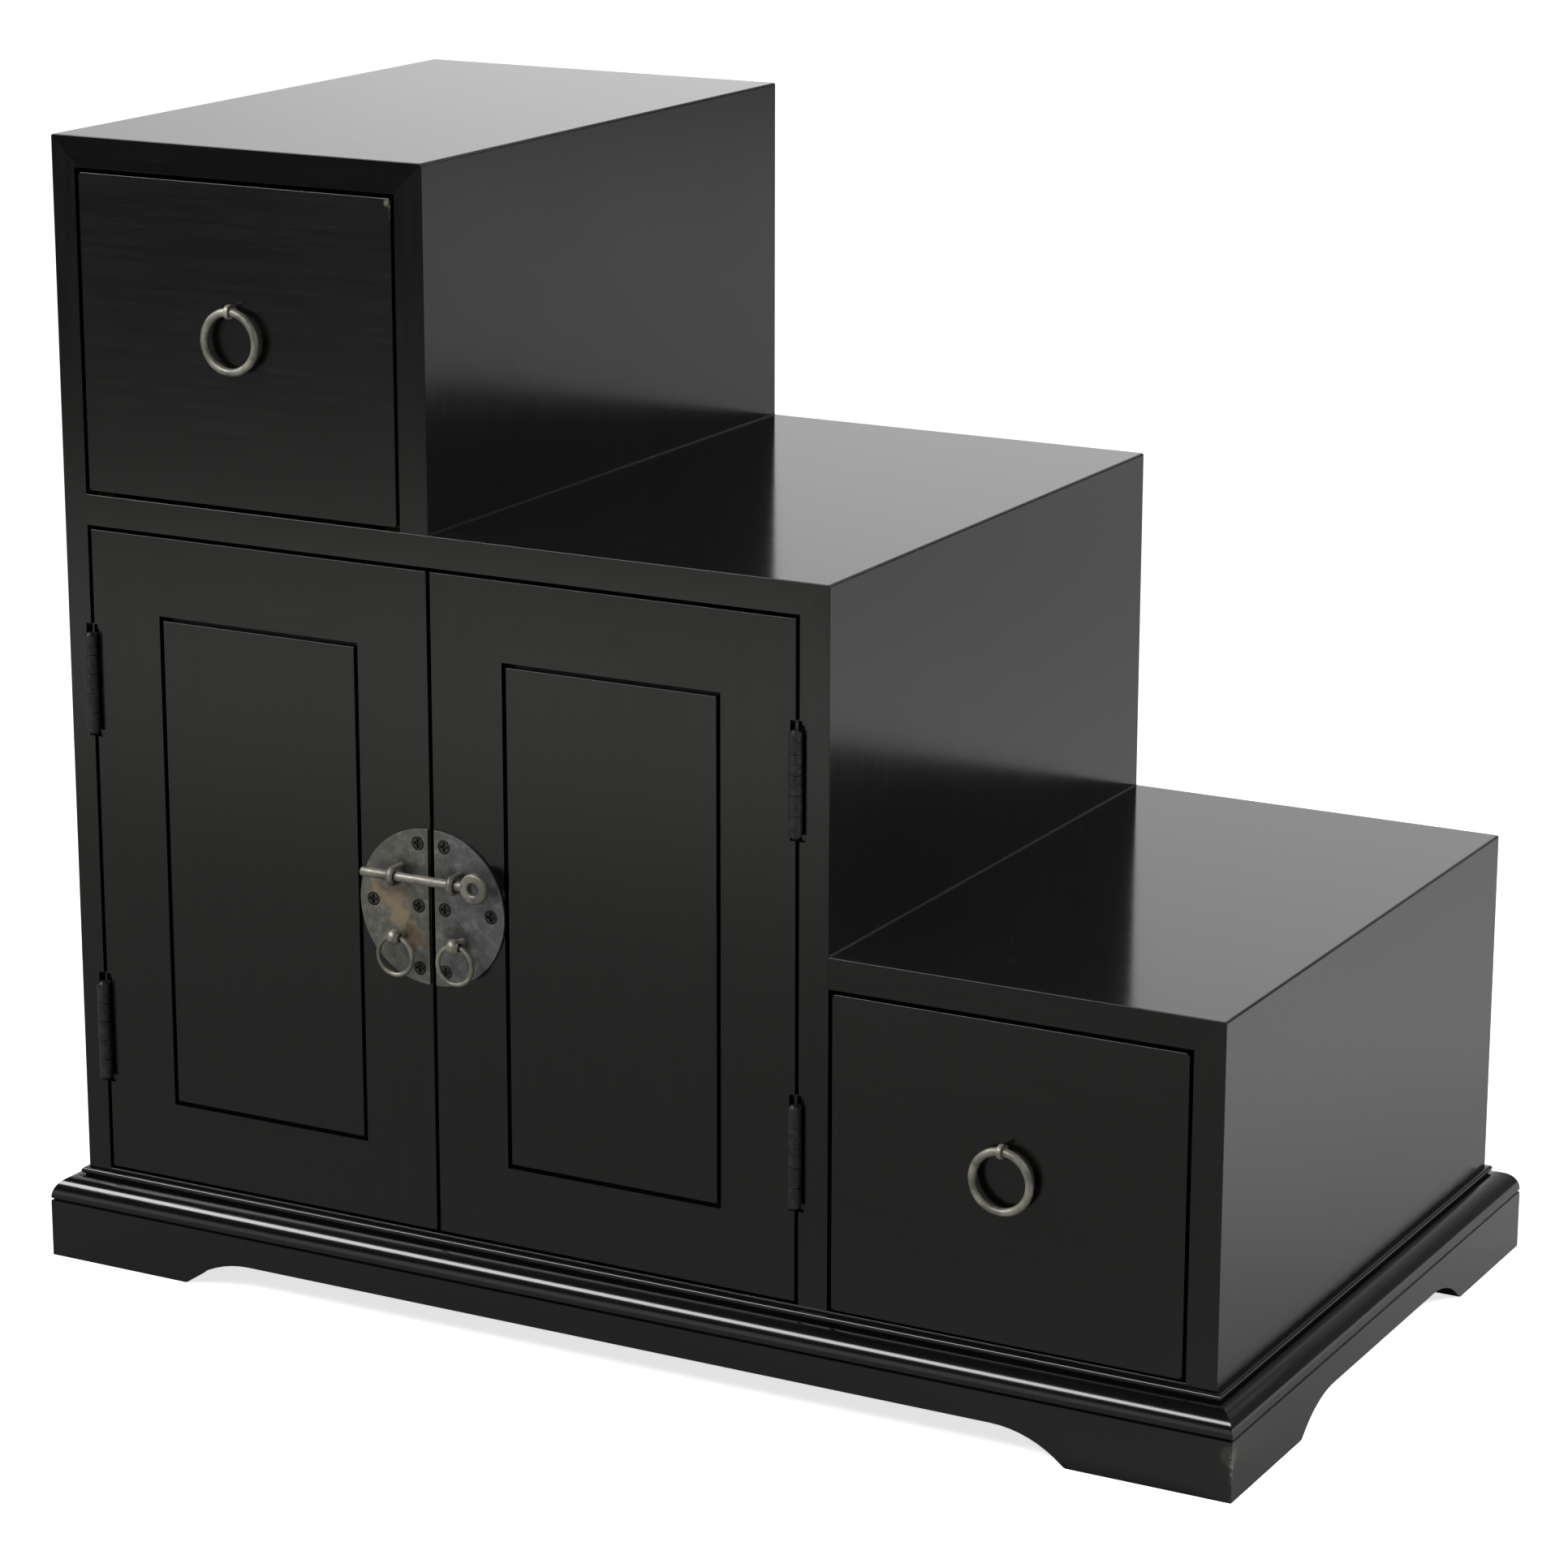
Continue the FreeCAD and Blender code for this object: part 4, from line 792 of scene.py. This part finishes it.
class TANSU_OT_lock(TansuOperator):
    """Bend the staples and forge the pin that closes the doors"""

    bl_idname = "tansu.lock"
    bl_label = "Staples and pin"

    def make(self, scene):
        sizes, look = scene.tansu_fittings, scene.tansu_metal
        bronze = forged("lock_bronze", 1.0, 0.72)
        low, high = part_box("left_staple")
        wire = (high.x - low.x) / 2
        reach = (high.z - low.z) / 2 - wire
        middle = Vector(((low.x + high.x) / 2, low.y + reach + wire, (low.z + high.z) / 2))
        start = Vector((middle.x, high.y, middle.z + reach))
        flatten = sizes.staple_width / sizes.staple_thickness
        thin = STAPLE_LEG_SHARE
        made = disc(sizes.staple_thickness * thin, start, "y", sizes.wire_sides)
        face_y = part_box("left_door_lock_stile")[0].y
        draw_out((0, face_y - high.y, 0))
        draw_out((0, -STAPLE_STEP, 0))
        wide_from = (start.x, face_y - STAPLE_STEP, start.z)
        bpy.ops.transform.resize(value=(flatten / thin, 1, 1 / thin), center_override=wide_from)
        draw_out((0, middle.y - face_y + STAPLE_STEP, 0))
        bend(180, middle, (1, 0, 0), 28)
        draw_out((0, face_y - STAPLE_STEP - middle.y, 0))
        draw_out((0, STAPLE_STEP, 0))
        wide_to = (start.x, face_y, middle.z - reach)
        bpy.ops.transform.resize(value=(thin / flatten, 1, thin), center_override=wide_to)
        draw_out((0, high.y - face_y, 0))
        staple = close_up(made, "left_staple_bent")
        hammer(staple, look.hammer * 0.5, 3 * MM)
        smooth(staple, 50)
        hand_over(staple, "left_door", "ring_bronze", bronze, "left_staple")
        shift = span("right_staple")[0] - span("left_staple")[0]
        twin = again(staple, "right_staple_bent", shift)
        hand_over(twin, "right_door", "ring_bronze", bronze, "right_staple")

        low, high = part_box("lock_pin")
        head_radius = (high.z - low.z) / 2 - 0.35 * MM
        centre = (low + high) / 2
        rod = 2.35 * MM
        head = Vector((high.x - head_radius - PIN_INSET, centre.y, centre.z))
        tail = head.x - head_radius
        run = tail - low.x
        pin = turned("lock_pin_forged", Vector((low.x, centre.y, centre.z)), (1, 0, 0), [
            (0, rod * 0.62), (0.25 * MM, rod * 0.82), (0.7 * MM, rod * 0.95), (1.4 * MM, rod),
            (run * 0.25, rod), (run * 0.5, rod * 0.95), (run * 0.75, rod * 0.97), (run - 3 * MM, rod),
            (run - 0.5 * MM, rod), (run + 2.2 * MM, rod * 0.92), (run + 3.6 * MM, rod * 0.6),
        ], 28)
        flat = (high.y - low.y) / 2 - 0.3 * MM
        made = disc(head_radius, head - Vector((0, flat, 0)), "y", 64)
        bpy.ops.mesh.inset(thickness=head_radius - PIN_HOLE, depth=0)
        bpy.ops.mesh.delete(type="FACE")
        bpy.ops.mesh.select_all(action="SELECT")
        draw_out((0, flat * 2, 0))
        close_up(made, "pin_head")
        shape(made, "BEVEL", width=PIN_BEVEL, segments=5, limit_method="ANGLE",
              angle_limit=math.radians(50))
        shape(pin, "BOOLEAN", object=made, operation="UNION", solver="EXACT")
        bpy.data.objects.remove(made)
        shape(pin, "SUBSURF", subdivision_type="SIMPLE", levels=1, render_levels=1)
        hammer(pin, look.hammer * 0.6, 3.5 * MM)
        smooth(pin, 40)
        hand_over(pin, "latch", "ring_bronze", bronze, "lock_pin")


class TANSU_OT_stage(TansuOperator):
    """Set up the pale floor, the soft light and the camera"""

    bl_idname = "tansu.stage"
    bl_label = "Stage"

    def make(self, scene):
        look = scene.tansu_stage
        self.floor(look)
        self.room(scene, look)
        self.lamp("key_light", look.key, *KEY_LAMP)
        self.lamp("near_light", look.near, *NEAR_LAMP)
        self.lamp("far_light", look.far, *FAR_LAMP)
        data = bpy.data.cameras.new("camera")
        data.sensor_width = 36
        data.lens = look.focal
        camera = bpy.data.objects.new("camera", data)
        camera.location = look.camera_at
        camera.rotation_euler = look.camera_turn
        scene.collection.objects.link(camera)
        scene.camera = camera
        scene.view_settings.view_transform = "Standard"

    def floor(self, look):
        clear_selection()
        bpy.ops.mesh.primitive_plane_add(size=FLOOR_SIZE, location=FLOOR_MIDDLE)
        bpy.ops.object.transform_apply(location=True, rotation=True, scale=True)
        made = bpy.context.object
        made.name = "floor"
        f = Finish("floor_paper")
        seen = f.add("LightPath").outputs["Is Camera Ray"]
        along = f.add("SeparateXYZ", {0: f.place}).outputs["Y"]
        # Painted light and shade: the floor's bands stand in for how brightly each stretch is lit, out of
        # the camera's sight.
        painted_light = f.blend(f.band(along, *FAR_TO_MIDDLE), look.floor_far, look.floor_middle)
        painted_light = f.blend(f.band(along, *MIDDLE_TO_FRONT), painted_light, look.floor_front)
        painted_light = f.blend(f.band(along, *FRONT_TO_BACK), painted_light, look.floor_back)
        glow = f.band(f.near((0, 0, 0), FLOOR_REACH), 0.0, 0.8, 1.0, look.floor_glow)
        f.give(Base_Color=f.blend(seen, painted_light, (1, 1, 1)), Roughness=0.9, Specular_IOR_Level=0.1,
               Emission_Color=(1, 1, 1), Emission_Strength=f.both(seen, glow))
        made.data.materials.append(f.material)

    def room(self, scene, look):
        """A dim room with a bright wall, a bright patch of ceiling, a paler lower part in front and a
        paler wall at the right. Where lights overlap, the brighter one counts."""
        world = bpy.data.worlds.new("studio")
        world.use_nodes = True
        nodes, links = world.node_tree.nodes, world.node_tree.links
        way = nodes.new("ShaderNodeTexCoord").outputs["Generated"]
        level = None
        for toward, most, start, full in ROOM_LIGHTS:
            across = nodes.new("ShaderNodeVectorMath")
            across.operation = "DOT_PRODUCT"
            across.inputs[1].default_value = getattr(look, toward)
            glow = nodes.new("ShaderNodeMapRange")
            glow.interpolation_type = "SMOOTHSTEP"
            glow.inputs["From Min"].default_value = start
            glow.inputs["From Max"].default_value = full
            glow.inputs["To Min"].default_value = look.dim_light
            glow.inputs["To Max"].default_value = getattr(look, most)
            links.new(way, across.inputs[0])
            links.new(across.outputs["Value"], glow.inputs["Value"])
            if level is None:
                level = glow.outputs["Result"]
                continue
            more = nodes.new("ShaderNodeMath")
            more.operation = "MAXIMUM"
            links.new(level, more.inputs[0])
            links.new(glow.outputs["Result"], more.inputs[1])
            level = more.outputs["Value"]
        path = nodes.new("ShaderNodeLightPath")
        seen = nodes.new("ShaderNodeMix")
        seen.inputs[3].default_value = 1
        links.new(path.outputs["Is Camera Ray"], seen.inputs[0])
        links.new(level, seen.inputs[2])
        links.new(seen.outputs[0], nodes["Background"].inputs["Strength"])
        nodes["Background"].inputs["Color"].default_value = (1, 1, 1, 1)
        scene.world = world

    def lamp(self, name, power, size, place, aim):
        data = bpy.data.lights.new(name, "AREA")
        data.shape = "RECTANGLE"
        data.size, data.size_y = size
        data.energy = power
        lamp = bpy.data.objects.new(name, data)
        lamp.location = place
        lamp.rotation_euler = (Vector(aim) - Vector(place)).to_track_quat("-Z", "Y").to_euler()
        lamp.visible_camera = False
        bpy.context.scene.collection.objects.link(lamp)


OPERATORS = (
    TANSU_OT_case, TANSU_OT_joint_beads, TANSU_OT_fronts, TANSU_OT_plinth, TANSU_OT_inner_wood,
    TANSU_OT_hinges, TANSU_OT_lock_plates, TANSU_OT_pull_rings, TANSU_OT_drop_rings, TANSU_OT_lock,
    TANSU_OT_stage,
)


class TANSU_PT_panel(bpy.types.Panel):
    """Lists the chest's settings and operators"""

    bl_idname = "TANSU_PT_panel"
    bl_label = "Step chest tansu"
    bl_space_type = "VIEW_3D"
    bl_region_type = "UI"
    bl_category = "Tansu"

    def draw(self, context):
        for operator in OPERATORS:
            self.layout.operator(operator.bl_idname)
        for name, group in SETTINGS.items():
            box = self.layout.box()
            box.label(text=name.replace("tansu_", "").title())
            for prop in group.__annotations__:
                box.prop(getattr(context.scene, name), prop)


def register():
    for group in SETTINGS.values():
        bpy.utils.register_class(group)
    for name, group in SETTINGS.items():
        setattr(bpy.types.Scene, name, PointerProperty(type=group))
    for operator in OPERATORS:
        bpy.utils.register_class(operator)
    bpy.utils.register_class(TANSU_PT_panel)


def unregister():
    bpy.utils.unregister_class(TANSU_PT_panel)
    for operator in reversed(OPERATORS):
        bpy.utils.unregister_class(operator)
    for name in SETTINGS:
        delattr(bpy.types.Scene, name)
    for group in SETTINGS.values():
        bpy.utils.unregister_class(group)


def main():
    register()
    bpy.ops.tansu.case()
    bpy.ops.tansu.joint_beads()
    bpy.ops.tansu.fronts()
    bpy.ops.tansu.plinth()
    bpy.ops.tansu.inner_wood()
    bpy.ops.tansu.hinges()
    bpy.ops.tansu.lock_plates()
    bpy.ops.tansu.pull_rings()
    bpy.ops.tansu.drop_rings()
    bpy.ops.tansu.lock()
    bpy.ops.tansu.stage()
    clear_selection()


if __name__ == "__main__":
    main()
